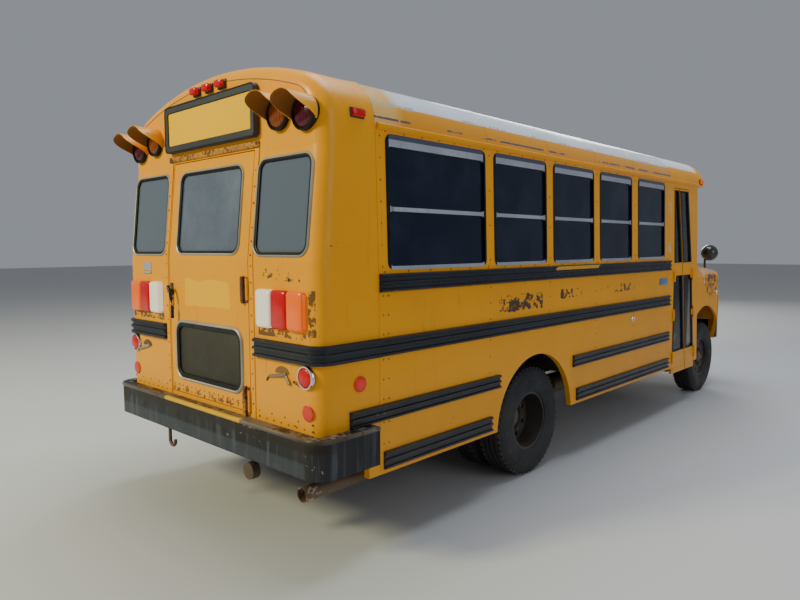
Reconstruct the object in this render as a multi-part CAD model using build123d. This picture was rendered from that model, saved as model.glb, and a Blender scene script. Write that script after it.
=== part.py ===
"""Short school bus: a narrow bus body with five windows a side on a cutaway van chassis.

Millimetres, +Z up, ground at Z 0. The front faces -Y and +X is the driver's (left) side. Lengths along the bus
are given as stations: the distance forward of the rear wall. The origin is on the ground under the middle.
"""
from build123d import *
import math
import os

# Overall sizes of the bus body
BUMPER_REAR = -75        # station of the rearmost face of the rear bumper
BUMPER_FRONT = 6455      # station of the foremost face of the front bumper
BODY_HALF = 1050         # half width over the side walls
WALL = 40                # thickness of a wall with its lining
SKIRT_Z = 430            # lower edge of the side walls
SILL_Z = 1500            # height where the side walls start to lean in
SIDE_LEAN = 0.026        # slope of the leaning stretch
DRIP_Z = 2330            # joint between side walls and roof
SHOULDER_X = 860         # where the tight corner of the roof meets its flat crown arc
SHOULDER_Z = 2580
SHOULDER_BULGE = 47      # height of the corner arc over its chord
CROWN_Z = 2720
REAR_CREASE_Z = 1615     # crease of the rear wall, which leans forward above it
REAR_TOP_Z = 2200
REAR_LEAN = 61           # how far the rear wall has leaned at REAR_TOP_Z
REAR_CORNER_R = 85       # round corners of the rear end
CAP_R = 70               # round edge between the rear end and the roof
REAR_SEAM = 424          # joint between the rear end and the side walls and roof
FRONT_SEAM = 4550        # joint between the roof and the front cap
CAP_FRONT = 5560         # front face of the front cap, over the windscreen
LEFT_WALL_END = 4540     # the left wall ends behind the driver's door
END_PANEL = 20           # thickness of the panels that close the body towards the cab
GAP = 6                  # running gap round doors and the hood
SEAT_GAP = 0.3           # clearance of pieces that are fitted to each other

# Side windows: (rear edge, front edge) stations, lower and upper edges
SIDE_WINDOWS = ((496, 1413), (1504, 2169), (2263, 2913), (3016, 3642), (3771, 4400))
WINDOW_LOW, WINDOW_HIGH, WINDOW_R = 1560, 2298, 45
FRAME_SIDE, FRAME_LOW, FRAME_TOP = 17, 20, 67        # widths of a window's aluminium frame
SASH_Z, SASH_HALF = 1893, 12                         # middle rail between the two sashes
GLASS = 5

# Rear end: windows beside the door and in the door, and the emergency door
REAR_WINDOW_IN, REAR_WINDOW_OUT = 505, 960
REAR_WINDOW_LOW, REAR_WINDOW_HIGH, REAR_WINDOW_R = 1648, 2158, 60
DOOR_HALF, DOOR_LOW, DOOR_HIGH = 450, 755, 2225
DOOR_GLASS_HALF, DOOR_GLASS_LOW, DOOR_GLASS_HIGH = 345, 1655, 2150
DOOR_LOWER_HALF, DOOR_LOWER_LOW, DOOR_LOWER_HIGH = 352, 875, 1200

# Entrance on the right: edges as (station at the top, station at the bottom)
ENTRY_TOP, ENTRY_BOTTOM = 2270, 370
ENTRY_REAR = (4650, 4650)
ENTRY_SEAM = (4790, 5030)
ENTRY_FRONT = (5050, 5300)
ENTRY_GAP = 20           # the leaves need this much at the seam to swing past each other
LEAF = 25                # thickness of a leaf
PILLAR_FRONT = (5320, 5400)
LEAF_STILE = 20          # width of the leaf's frame round the panes
BAND_LOW, BAND_HIGH = 1377, 1516     # solid band between the upper and lower panes
KICK_TOP = 600           # top of the solid panel at the foot of a leaf

# Strap hinges: radii of barrel and pin, half length of one barrel piece, strap width and thickness, heights
HINGE_R, HINGE_PIN_R, HINGE_HALF, STRAP, STRAP_T = 9, 4, 30, 45, 4
HINGE_OUT = HINGE_R + 0.5        # how far a hinge pin stands off the panel's face
REAR_HINGES = (822, 1455)
ENTRY_HINGES = (540, 980, 1380)
CAB_HINGES = (780, 1280)

# Rear door handle: (inner X, outer X), (low, high) of the lever, how far it stands off
HANDLE_X, HANDLE_Z, HANDLE_OUT, HANDLE_T = (365, 395), (1270, 1440), 32, 13
HANDLE_POST = 25

# Rub rails: (lower edge, upper edge, stretches as (rear station, front station))
RAILS = (
    (1441, 1541, ((REAR_SEAM, 4539),)),
    (1089, 1191, ((REAR_SEAM, 4539),)),
    (734, 825, ((200, 1562), (2575, 4539))),
    (456, 556, ((450, 1470), (2640, 4539))),
)
RAIL_OUT = 24            # how far a rub rail stands out
RAIL_RIDGES = 3
REAR_RAIL_IN = 505       # the second rail runs round the corner to this distance from the middle

# Rear bumper, a channel with round corners, and the tow fittings under it
BUMPER_LOW, BUMPER_HIGH, BUMPER_OUT, BUMPER_SIDE, BUMPER_T = 525, 733, 75, 350, 8
BUMPER_HALF = BODY_HALF + BUMPER_OUT
BUMPER_R, BUMPER_LIP = 110, 70
REAR_WALL_LOW = 560      # the rear wall ends behind the bumper
HOOK_X, HOOK_S, HOOK_Z, HOOK_R, HOOK_BAR = 400, -40, 437, 34, 11
TOW_EYE_X, TOW_EYE_Z, TOW_EYE_R = -410, 412, 50

# Wheels and axles
TYRE_R, TYRE_W, RIM_R = 398, 218, 212
TYRE_CENTRE = TYRE_R
REAR_AXLE, FRONT_AXLE = 2052, 5800
DUAL_OUT, DUAL_IN = 896, 636          # middles of the outer and inner rear tyres
FRONT_TRACK = 866                     # middle of a front tyre
KINGPIN_X = 770
ARCH_R = TYRE_R + 107                 # rear wheel arches
HOUSE_T, HOUSE_CLEAR = 20, 124        # wheel housings in the floor, and their room over the tyres
FRONT_ARCH_R, FRONT_ARCH_Z = TYRE_R + 137, TYRE_CENTRE + 62
AXLE_R = 45
STEER_PIN_R = 18
SPINDLE_R = 30
REAR_SPINDLE_R = 42
HAND_HOLES = 8           # round holes through a wheel's disc
DISC_T = 8

# Chassis
RAIL_X, RAIL_W, RAIL_LOW, RAIL_HIGH, RAIL_T = 430, 70, 520, 690, 8
RAIL_REAR, RAIL_FRONT = 60, 6330
CROSS_STATIONS = (160, 700, 1250, 2700, 3700, 4700, 5250)
CROSS_LOW = 600          # the cross-members leave room for the drive shaft below
OUTRIGGERS = (200, 1200, 2900, 3900)
CAB_OUTRIGGER = (4870, 4930, 565, 605)               # (rear, front) stations, (low, high)
BRACKET_W, BRACKET_LOW, BRACKET_HIGH = 80, 560, 650  # rear bumper bracket
FLOOR_Z, FLOOR_T, FLOOR_FRONT = 735, 30, 5230
PIPE_X, PIPE_Z, PIPE_R, PIPE_END, PIPE_BORE = -870, 385, 42, 20, 360      # tail pipe and its open end
PIPE_WALL = 4
MUFFLER_R, MUFFLER_X, MUFFLER_Z, MUFFLER = 85, -600, 470, (2950, 3550)

# Cab of the van and its front end
CAB_HALF = 1000          # half width
CAB_LOW, CAB_REAR, CAB_TOP = 560, LEFT_WALL_END + SEAT_GAP, DRIP_Z - SEAT_GAP
COWL_LOW, COWL_FRONT, COWL_Z = 1000, 5700, 1440      # the cowl stands forward of the foot board
FIREWALL = 5400
SCREEN_TOP_S, SCREEN_TOP_Z = 5330, 2180              # upper edge of the windscreen plane
BELT_Z, BELT_IN, CAB_TOP_IN = 1330, 70, 190          # the sides lean in above the belt
CAB_DOOR = (4600, 5300, 610, 2200)                   # rear, front, low, high
CAB_RIGHT_REAR = 5279                                # the cab is open to the entrance behind this
NOSE = 6400
FACE_HALF, FACE_LOW, FACE_HIGH = 600, 820, 1150      # opening for the grille and lamps
LAMP_IN, LAMP_LOW, RADIATOR = 405, 925, 6240
HOOD_HALF, HOOD_REAR, HOOD_LOW = 760, 5712, 1180
GRILLE_SLOTS, SLOT_PITCH, SLOT_H, SLOT_HALF = 7, 42, 26, 375
FENDER_T = 25

# Warning lamps: (X, height) of the outer and inner lamp at the rear, and the same lamps at the front
WARNING_LAMPS = ((903, 2360), (685, 2385))
LAMP_R, LAMP_DEPTH, FRONT_LAMP_SHARE, FRONT_LAMP_UP = 88, 40, 0.93, 60
VISOR, VISOR_T, VISOR_LOW, VISOR_TIP = 165, 4, -35, 58
# Tail lamps: first X, pitch, width, low and high edge, depth; round lamp below them
TAIL_X, TAIL_PITCH, TAIL_W, TAIL_LOW, TAIL_HIGH, TAIL_DEPTH = 550, 136, 134, 1257, 1463, 32
ROUND_LAMP = (950, 1025, 62)                         # X, height, radius
# Sign over the rear door: a blank panel in a raised frame
SIGN_HALF, SIGN_LOW, SIGN_HIGH, SIGN_R, SIGN_DEPTH, SIGN_EDGE, SIGN_RECESS = 501, 2290, 2580, 30, 34, 40, 8
# Clearance lamps: X positions, half width, height over the sign, station of the foot
CLEARANCE_X, CLEARANCE_HALF, CLEARANCE_LOW, CLEARANCE_HIGH = (-140, 0, 140), 36, 2612, 2652
CLEARANCE_DEPTH = 38
MARKERS = (295, 5420)                                # stations of the side marker lamps
MARKER_HALF, MARKER_LOW, MARKER_HIGH, MARKER_DEPTH = 42, 2356, 2394, 26

# Seats: rows of bench seats
SEAT_ROWS, SEAT_PITCH, SEAT_FIRST = 5, 745, 640
BENCH_IN, BENCH_OUT = 205, 985
CUSHION_Z, CUSHION_T, CUSHION_L = FLOOR_Z + 355, 110, 430
BACK_T, BACK_TOP = 95, CUSHION_Z + 660
SEAT_EDGE = 30           # round edges of the cushions
SEAT_TUBE, SEAT_LEGS, LEG_IN = 25, (60, 280), 60     # frame height and leg thickness, stations of the legs
DRIVER_SEAT = (230, 730, 4760, 5230, FLOOR_Z + 295, FLOOR_Z + 405)
DRIVER_BACK = (240, 720, 4650, 4750, FLOOR_Z + 365, FLOOR_Z + 1025)

# Dashboard and steering wheel
DASH_REAR, DASH_LOW, DASH_HIGH = 5440, 1080, 1400
STEERING = (460, 5330, 1330)                         # X, station, height of the wheel's centre
STEERING_TILT, STEERING_R, STEERING_RIM, COLUMN_R = -60, 190, 14, 22

# Stop arm on the left wall, and the mirrors
STOP_HINGE, STOP_Z, STOP_R, STOP_T, STOP_REACH = 4380, 1316, 228, 12, 290
STOP_PIN_R = 6
MIRROR_X, MIRROR_S, MIRROR_LOW, MIRROR_HIGH = (985, 1118), 5370, 1410, 1730
BOWL_X, BOWL_S, BOWL_Z, BOWL_R = 940, 6050, 1600, 95

MID = (BUMPER_REAR + BUMPER_FRONT) / 2
SIDES = (("left", 1), ("right", -1))


def at(station):
    """Y of a station."""
    return MID - station


def block(x0, x1, s0, s1, z0, z1):
    """Box between two X, two stations and two heights."""
    centre = Pos((x0 + x1) / 2, at((s0 + s1) / 2), (z0 + z1) / 2)
    return centre * Box(abs(x1 - x0), abs(s1 - s0), abs(z1 - z0))


def side_prism(points, x0, x1):
    """Prism along X of an outline given as (station, height) pairs."""
    outline = Polyline(*[(at(s), z) for s, z in points], close=True)
    face = Plane(origin=(min(x0, x1), 0, 0), x_dir=(0, 1, 0), z_dir=(1, 0, 0)) * make_face(outline)
    return extrude(face, amount=abs(x1 - x0), dir=(1, 0, 0))


def end_prism(points, s0, s1):
    """Prism along the bus of an outline given as (X, height) pairs."""
    outline = Polyline(*points, close=True)
    plane = Plane(origin=(0, at(min(s0, s1)), 0), x_dir=(1, 0, 0), z_dir=(0, -1, 0))
    return extrude(plane * make_face(outline), amount=abs(s1 - s0), dir=(0, -1, 0))


def round_side(s0, s1, z0, z1, radius, x0, x1):
    """Prism along X of a rectangle with round corners, for side windows."""
    sketch = Pos(at((s0 + s1) / 2), (z0 + z1) / 2) * RectangleRounded(abs(s1 - s0), z1 - z0, radius)
    plane = Plane(origin=(min(x0, x1), 0, 0), x_dir=(0, 1, 0), z_dir=(1, 0, 0))
    return extrude(plane * sketch, amount=abs(x1 - x0), dir=(1, 0, 0))


def round_end(x0, x1, z0, z1, radius, s0, s1):
    """Prism along the bus of a rectangle with round corners, for rear windows and lamps."""
    sketch = Pos((x0 + x1) / 2, (z0 + z1) / 2) * RectangleRounded(abs(x1 - x0), z1 - z0, radius)
    plane = Plane(origin=(0, at(min(s0, s1)), 0), x_dir=(1, 0, 0), z_dir=(0, -1, 0))
    return extrude(plane * sketch, amount=abs(s1 - s0), dir=(0, -1, 0))


def rod_x(radius, x0, x1, station, z):
    """Cylinder along X."""
    return Pos((x0 + x1) / 2, at(station), z) * Rot(0, 90, 0) * Cylinder(radius, abs(x1 - x0))


def rod_y(radius, s0, s1, x, z):
    """Cylinder along the bus."""
    return Pos(x, at((s0 + s1) / 2), z) * Rot(90, 0, 0) * Cylinder(radius, abs(s1 - s0))


def rod_z(radius, x, station, z0, z1):
    """Upright cylinder."""
    return Pos(x, at(station), (z0 + z1) / 2) * Cylinder(radius, abs(z1 - z0))


def body_envelope(inset):
    """Outer form of the bus body, or that form drawn in by inset and open below."""
    half = BODY_HALF - inset
    eave = half - SIDE_LEAN * (DRIP_Z - SILL_Z)
    low = SKIRT_Z if inset == 0 else SKIRT_Z - 100
    sx, sz = SHOULDER_X - 0.5 * inset, SHOULDER_Z - 0.87 * inset
    chord = math.hypot(eave - sx, sz - DRIP_Z)
    mx = (eave + sx) / 2 + SHOULDER_BULGE * (sz - DRIP_Z) / chord
    mz = (DRIP_Z + sz) / 2 + SHOULDER_BULGE * (eave - sx) / chord
    outline = Polyline((-eave, DRIP_Z), (-half, SILL_Z), (-half, low), (half, low), (half, SILL_Z), (eave, DRIP_Z))
    outline += ThreePointArc((eave, DRIP_Z), (mx, mz), (sx, sz))
    outline += ThreePointArc((sx, sz), (0, CROWN_Z - inset), (-sx, sz))
    outline += ThreePointArc((-sx, sz), (-mx, mz), (-eave, DRIP_Z))
    plane = Plane(origin=(0, at(-50), 0), x_dir=(1, 0, 0), z_dir=(0, -1, 0))
    hull = extrude(plane * make_face(outline), amount=CAP_FRONT + 100, dir=(0, -1, 0))
    top = CROWN_Z + 200
    front = CAP_FRONT - inset
    sides = side_prism(
        ((inset, low - 50), (inset, REAR_CREASE_Z), (REAR_LEAN + inset, REAR_TOP_Z), (REAR_LEAN + inset, top),
         (front, top), (front, low - 50)),
        -BODY_HALF - 100, BODY_HALF + 100)
    hull = hull & sides
    corner = REAR_CORNER_R - inset
    rear = [e for e in hull.edges() if is_rear_corner(e, inset)]
    hull = fillet(rear, corner)
    if inset > 0:
        return hull
    return fillet([e for e in hull.edges() if is_cap_edge(e)], CAP_R)


def is_rear_corner(edge, inset):
    """True for the upright edges between the rear wall and the side walls, up to the eaves."""
    middle = edge @ 0.5
    near_rear = at(REAR_LEAN + inset) - 1 <= middle.Y <= at(inset) + 1
    return near_rear and middle.Z < DRIP_Z and abs(middle.X) > BODY_HALF - inset - 40 and edge.length > 100


def is_cap_edge(edge):
    """True for the arched edges round the front face of the front cap."""
    middle = edge @ 0.5
    return abs(middle.Y - at(CAP_FRONT)) < 1 and middle.Z > DRIP_Z


def body_skin():
    """Shell of the whole bus body, before it is split into panels."""
    return body_envelope(0) - body_envelope(WALL)


def side_slab(outward, depth, side):
    """Slab that follows one side wall, from outward of its face to depth inside it."""
    out_x, in_x = BODY_HALF + outward, BODY_HALF - depth
    lean = SIDE_LEAN * (DRIP_Z - SILL_Z)
    points = ((out_x, 300), (out_x, SILL_Z), (out_x - lean, DRIP_Z),
              (in_x - lean, DRIP_Z), (in_x, SILL_Z), (in_x, 300))
    return end_prism([(side * x, z) for x, z in points], 0, CAP_FRONT)


def rear_slab(outward, depth):
    """Slab that follows the rear wall, from outward of its face to depth inside it."""
    points = ((-outward, 300), (-outward, REAR_CREASE_Z), (REAR_LEAN - outward, REAR_TOP_Z),
              (REAR_LEAN - outward, CROWN_Z), (REAR_LEAN + depth, CROWN_Z), (REAR_LEAN + depth, REAR_TOP_Z),
              (depth, REAR_CREASE_Z), (depth, 300))
    return side_prism(points, -BODY_HALF, BODY_HALF)


def edge_station(edge, z):
    """Station of a sloping door edge at a height."""
    top, bottom = edge
    return bottom + (top - bottom) * (z - ENTRY_BOTTOM) / (ENTRY_TOP - ENTRY_BOTTOM)


def entry_outline(rear, front, low, high, shrink_rear=0, shrink_front=0):
    """Outline between two sloping door edges, as (station, height) pairs."""
    return ((edge_station(rear, low) + shrink_rear, low), (edge_station(front, low) - shrink_front, low),
            (edge_station(front, high) - shrink_front, high), (edge_station(rear, high) + shrink_rear, high))


def window_cuts(side, grow=0):
    """The side window openings of one side."""
    x0, x1 = side * (BODY_HALF - 150), side * (BODY_HALF + 100)
    return [round_side(s0 - grow, s1 + grow, WINDOW_LOW - grow, WINDOW_HIGH + grow, WINDOW_R + grow, x0, x1)
            for s0, s1 in SIDE_WINDOWS]


def arch(station, z, radius, x_in, side):
    """Cylinder that cuts a wheel arch, outward from x_in."""
    return rod_x(radius, side * x_in, side * (BODY_HALF + 200), station, z)


def hinge_line(lower, upper, z):
    """Location on a straight hinge pin at a height, turned along the pin; points are (X, station, height)."""
    share = (z - lower[2]) / (upper[2] - lower[2])
    x = lower[0] + share * (upper[0] - lower[0])
    s = lower[1] + share * (upper[1] - lower[1])
    tilt = math.degrees(math.atan2(upper[1] - lower[1], upper[2] - lower[2]))
    return Pos(x, at(s), z) * Rot(tilt, 0, 0)


def strap_hinges(lower, upper, heights, fixed_way, moving_way, inward):
    """Strap hinges on a pin line: what is fixed to the frame, and what is fixed to the door.

    A way is (X, Y) from the pin along the panel, and inward is (X, Y) from the pin to the panel's face.
    """
    fixed, moving = [], []
    for z in heights:
        place = hinge_line(lower, upper, z)
        ends = Pos(0, 0, HINGE_HALF * 1.5) * Cylinder(HINGE_R, HINGE_HALF - 1)
        ends += Pos(0, 0, -HINGE_HALF * 1.5) * Cylinder(HINGE_R, HINGE_HALF - 1)
        ends += strap(fixed_way, inward, HINGE_HALF * 1.5, HINGE_HALF - 1)
        ends += strap(fixed_way, inward, -HINGE_HALF * 1.5, HINGE_HALF - 1)
        ends += Cylinder(HINGE_PIN_R, HINGE_HALF * 4)
        knuckle = Cylinder(HINGE_R, HINGE_HALF * 2) + strap(moving_way, inward, 0, HINGE_HALF * 2)
        fixed.append(place * ends)
        moving.append(place * (knuckle - Cylinder(HINGE_PIN_R + SEAT_GAP, HINGE_HALF * 3)))
    return fixed, moving


def strap(way, inward, z, height):
    """Flat strap of a hinge, from its pin along a panel's face."""
    ix, iy = inward[0] * (HINGE_OUT - STRAP_T / 2), inward[1] * (HINGE_OUT - STRAP_T / 2)
    cx, cy = way[0] * STRAP / 2 + ix, way[1] * STRAP / 2 + iy
    size_x = STRAP if way[0] else STRAP_T
    size_y = STRAP if way[1] else STRAP_T
    return Pos(cx, cy, z) * Box(size_x, size_y, height)


def rear_door_hinges():
    """Hinges on the right edge of the rear door."""
    x, s = -(DOOR_HALF - GAP / 2), -HINGE_OUT
    return strap_hinges((x, s, 0), (x, s, 1000), REAR_HINGES, (-1, 0), (1, 0), (0, -1))


def entrance_hinges(edge, trim, way):
    """Hinges on the outer edge of an entrance leaf."""
    x = -(BODY_HALF + HINGE_OUT)
    lower = (x, edge_station(edge, 0) + trim, 0)
    upper = (x, edge_station(edge, 1000) + trim, 1000)
    return strap_hinges(lower, upper, ENTRY_HINGES, (0, way), (0, -way), (1, 0))


def driver_door_hinges():
    """Hinges on the front edge of the driver's door."""
    x, s = CAB_HALF + HINGE_OUT, CAB_DOOR[1] - GAP / 2
    return strap_hinges((x, s, 0), (x, s, 1000), CAB_HINGES, (0, -1), (0, 1), (-1, 0))


def make_side_walls(skin):
    """Left and right walls with window openings, wheel arches and the entrance."""
    nodes = {}
    for name, side in SIDES:
        front = LEFT_WALL_END if side > 0 else PILLAR_FRONT[1] + 100
        wall = skin & block(side * 700, side * (BODY_HALF + 50), REAR_SEAM, front, SKIRT_Z - 100, DRIP_Z)
        wall -= window_cuts(side)
        wall -= arch(REAR_AXLE, TYRE_CENTRE, ARCH_R, 600, side)
        if side < 0:
            reach = (side * 700, side * (BODY_HALF + 100))
            wall -= side_prism(entry_outline(ENTRY_REAR, ENTRY_FRONT, ENTRY_BOTTOM - 100, ENTRY_TOP), *reach)
            ahead = ((PILLAR_FRONT[0], DRIP_Z + 50), (PILLAR_FRONT[0], SILL_Z), (PILLAR_FRONT[1], 300),
                     (5700, 300), (5700, DRIP_Z + 50))
            wall -= side_prism(ahead, *reach)
            wall += entrance_hinges(ENTRY_REAR, GAP / 2, 1)[0]
            wall += entrance_hinges(ENTRY_FRONT, -GAP / 2, -1)[0]
            wall += end_panel(side, PILLAR_FRONT[0] - END_PANEL, -SEAT_GAP, CAB_LOW)
        else:
            wall += end_panel(side, LEFT_WALL_END - END_PANEL, WALL + 5, SKIRT_Z + 40)
        nodes[name + "_side_wall"] = wall
    return nodes


def end_panel(side, station, inset, low):
    """Panel across the body that closes it towards the cab, whose side drawn in by inset is its inner edge."""
    outer = BODY_HALF - WALL / 2
    points = ((outer, low), (outer, SILL_Z), (outer - SIDE_LEAN * (DRIP_Z - SILL_Z), DRIP_Z),
              (cab_side(DRIP_Z) - inset, DRIP_Z), (cab_side(COWL_Z) - inset, COWL_Z),
              (cab_side(BELT_Z) - inset, BELT_Z), (cab_side(low) - inset, low))
    return end_prism([(side * x, z) for x, z in points], station, station + END_PANEL)


def cab_side(z):
    """X of the cab's side at a height."""
    if z <= BELT_Z:
        return CAB_HALF
    if z <= COWL_Z:
        return CAB_HALF - BELT_IN * (z - BELT_Z) / (COWL_Z - BELT_Z)
    return CAB_HALF - BELT_IN - (CAB_TOP_IN - BELT_IN) * (z - COWL_Z) / (CAB_TOP - COWL_Z)


def make_rear_wall(skin):
    """Rear end below the roof, with its windows and the emergency doorway."""
    wall = skin & block(-BODY_HALF - 50, BODY_HALF + 50, -50, REAR_SEAM, SKIRT_Z - 100, DRIP_Z)
    wall -= block(-DOOR_HALF, DOOR_HALF, -100, 200, DOOR_LOW, DOOR_HIGH)
    for _, side in SIDES:
        wall -= round_end(side * REAR_WINDOW_IN, side * REAR_WINDOW_OUT, REAR_WINDOW_LOW, REAR_WINDOW_HIGH,
                          REAR_WINDOW_R, -100, 250)
        wall -= bumper_bracket(side, SEAT_GAP)
    wall -= block(-BODY_HALF - 50, BODY_HALF + 50, -50, BUMPER_SIDE - 10, SKIRT_Z - 100, REAR_WALL_LOW)
    return wall + rear_door_hinges()[0]


def make_roof(skin):
    """White roof and the two yellow end caps."""
    wide = BODY_HALF + 50
    roof = skin & block(-wide, wide, REAR_SEAM, FRONT_SEAM, DRIP_Z, CROWN_Z + 50)
    rear_cap = skin & block(-wide, wide, -50, REAR_SEAM, DRIP_Z, CROWN_Z + 50)
    front_cap = skin & block(-wide, wide, FRONT_SEAM, CAP_FRONT + 50, DRIP_Z, CROWN_Z + 50)
    header = SCREEN_TOP_S - WALL
    soffit = block(-wide, wide, header, CAP_FRONT, DRIP_Z, DRIP_Z + 25)
    soffit += block(CAB_HALF - CAB_TOP_IN - WALL, wide, FRONT_SEAM, header, DRIP_Z, DRIP_Z + 25)
    soffit = soffit & body_envelope(WALL + SEAT_GAP)
    return {"roof": roof, "roof_caps": Compound([rear_cap, front_cap, soffit])}


def make_side_windows():
    """Split-sash aluminium frames and their panes."""
    frames, panes = [], []
    for _, side in SIDES:
        slab = side_slab(3, 30, side)
        thin = side_slab(-12, 12 + GLASS, side)
        x0, x1 = side * (BODY_HALF - 150), side * (BODY_HALF + 100)
        for s0, s1 in SIDE_WINDOWS:
            inner_r = WINDOW_R - FRAME_SIDE
            rear, front = s0 + FRAME_SIDE, s1 - FRAME_SIDE
            whole = round_side(s0, s1, WINDOW_LOW, WINDOW_HIGH, WINDOW_R, x0, x1)
            lower = round_side(rear, front, WINDOW_LOW + FRAME_LOW, SASH_Z - SASH_HALF, inner_r, x0, x1)
            upper = round_side(rear, front, SASH_Z + SASH_HALF, WINDOW_HIGH - FRAME_TOP, inner_r, x0, x1)
            frames.append((whole - lower - upper) & slab)
            panes += [lower & thin, upper & thin]
    return frames, panes


def make_rear_windows():
    """Panes of the two windows beside the rear door."""
    thin = rear_slab(-6, 6 + GLASS)
    return [round_end(side * REAR_WINDOW_IN, side * REAR_WINDOW_OUT, REAR_WINDOW_LOW, REAR_WINDOW_HIGH,
                      REAR_WINDOW_R, -100, 250) & thin for _, side in SIDES]


def make_rear_door(skin):
    """Emergency door with an upper and a lower pane, gaskets and a handle."""
    half = DOOR_HALF - GAP
    door = skin & block(-half, half, -50, 200, DOOR_LOW + GAP, DOOR_HIGH - GAP)
    upper = round_end(-DOOR_GLASS_HALF, DOOR_GLASS_HALF, DOOR_GLASS_LOW, DOOR_GLASS_HIGH, REAR_WINDOW_R, -100, 250)
    lower = round_end(-DOOR_LOWER_HALF, DOOR_LOWER_HALF, DOOR_LOWER_LOW, DOOR_LOWER_HIGH, REAR_WINDOW_R, -100, 250)
    door = door - upper - lower + rear_door_hinges()[1]
    thin = rear_slab(-6, 6 + GLASS)
    panes = Compound([upper & thin, lower & thin])
    (x0, x1), (z0, z1) = HANDLE_X, HANDLE_Z
    handle = block(x0, x1, -HANDLE_OUT - HANDLE_T, -HANDLE_OUT, z0, z1)
    handle += block(x0, x1, -HANDLE_OUT, 0, z0, z0 + HANDLE_POST)
    handle += block(x0, x1, -HANDLE_OUT, 0, z1 - HANDLE_POST, z1)
    return {"rear_door": door, "rear_door_glass": panes, "rear_door_handle": handle}


def make_entrance():
    """Two outward-opening leaves, each with an upper and a lower pane."""
    nodes = {}
    slab, thin = side_slab(0, LEAF, -1), side_slab(-10, 10 + GLASS, -1)
    reach = (-700, -BODY_HALF - 100)
    edges = (("rear", ENTRY_REAR, ENTRY_SEAM, GAP, ENTRY_GAP / 2),
             ("front", ENTRY_SEAM, ENTRY_FRONT, ENTRY_GAP / 2, GAP))
    for name, rear, front, trim_rear, trim_front in edges:
        outline = entry_outline(rear, front, ENTRY_BOTTOM, ENTRY_TOP - GAP, trim_rear, trim_front)
        leaf = side_prism(outline, *reach) & slab
        panes = []
        for low, high in ((KICK_TOP, BAND_LOW), (BAND_HIGH, ENTRY_TOP - GAP - LEAF_STILE)):
            pane = entry_outline(rear, front, low, high, trim_rear + LEAF_STILE, trim_front + LEAF_STILE)
            hole = side_prism(pane, *reach)
            leaf -= hole
            panes.append(hole & thin)
        hinges = entrance_hinges(rear, GAP / 2, 1) if name == "rear" else entrance_hinges(front, -GAP / 2, -1)
        nodes["entrance_" + name + "_leaf"] = leaf + hinges[1]
        nodes["entrance_" + name + "_glass"] = Compound(panes)
    return nodes


def ribbed_rail(s0, s1, z0, z1, side):
    """Rub rail with three ridges, along a side wall."""
    depth = RAIL_OUT
    ridge = (z1 - z0) / (2 * RAIL_RIDGES - 1)
    points = [(BODY_HALF, z0)]
    for i in range(RAIL_RIDGES):
        low = z0 + 2 * i * ridge
        points += [(BODY_HALF + depth * 0.5, low), (BODY_HALF + depth, low + ridge * 0.25),
                   (BODY_HALF + depth, low + ridge * 0.75), (BODY_HALF + depth * 0.5, low + ridge)]
    points.append((BODY_HALF, z1))
    return end_prism([(side * x, z) for x, z in points], s0, s1)


def make_rub_rails():
    """Rub rails along both sides and round the rear corners."""
    rails = []
    for _, side in SIDES:
        for z0, z1, stretches in RAILS:
            for s0, s1 in stretches:
                rails.append(ribbed_rail(s0, s1, z0, z1, side) & side_slab(RAIL_OUT + 1, 0, side))
        rails.append(corner_rail(side, REAR_RAIL_IN, REAR_SEAM, RAILS[1][0], RAILS[1][1]))
    return rails


def corner_rail(side, x_in, s_end, z0, z1):
    """Rub rail that runs round a rear corner, from x_in on the rear wall to s_end on the side wall."""
    rail = outer_prism(plan_outline(side, x_in, s_end, RAIL_OUT / 2), z0, z1)
    crest = plan_outline(side, x_in, s_end, RAIL_OUT)
    pitch = (z1 - z0) / (2 * RAIL_RIDGES - 1)
    for i in range(RAIL_RIDGES):
        low = z0 + (2 * i + 0.12) * pitch
        rail += outer_prism(crest, low, low + 0.76 * pitch)
    return rail - outer_prism(plan_outline(side, x_in - 5, s_end + 5, 0), z0 - 5, z1 + 5)


def plan_outline(side, x_in, s_end, out):
    """Plan of a rear corner grown outward by out, as a face."""
    radius = REAR_CORNER_R + out
    corner_x, corner_s = BODY_HALF - REAR_CORNER_R, REAR_CORNER_R
    bend = math.sqrt(0.5) * radius
    start = (side * x_in, at(-out))
    tangent_rear = (side * corner_x, at(-out))
    middle = (side * (corner_x + bend), at(corner_s - bend))
    tangent_side = (side * (BODY_HALF + out), at(corner_s))
    end = (side * (BODY_HALF + out), at(s_end))
    inner = (side * x_in, at(s_end))
    outline = Line(start, tangent_rear) + ThreePointArc(tangent_rear, middle, tangent_side)
    outline += Polyline(tangent_side, end, inner, start)
    return make_face(outline)


def outer_prism(face, z0, z1):
    """Prism of a plan outline between two heights."""
    return extrude(Pos(0, 0, z0) * face, amount=z1 - z0, dir=(0, 0, 1))


def bumper_plan(grow):
    """Plan of the rear bumper drawn in by grow, as a face."""
    half, rear, radius = BUMPER_HALF - grow, BUMPER_REAR + grow, BUMPER_R - grow
    bend = radius * (1 - math.sqrt(0.5))
    outline = None
    for side in (1, -1):
        tangent_side = (side * half, at(rear + radius))
        tangent_rear = (side * (half - radius), at(rear))
        middle = (side * (half - bend), at(rear + bend))
        corner = Line((side * half, at(BUMPER_SIDE)), tangent_side)
        corner += ThreePointArc(tangent_side, middle, tangent_rear)
        outline = corner if outline is None else outline + corner
    outline += Line((half - radius, at(rear)), (radius - half, at(rear)))
    outline += Line((half, at(BUMPER_SIDE)), (-half, at(BUMPER_SIDE)))
    return make_face(outline)


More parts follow.
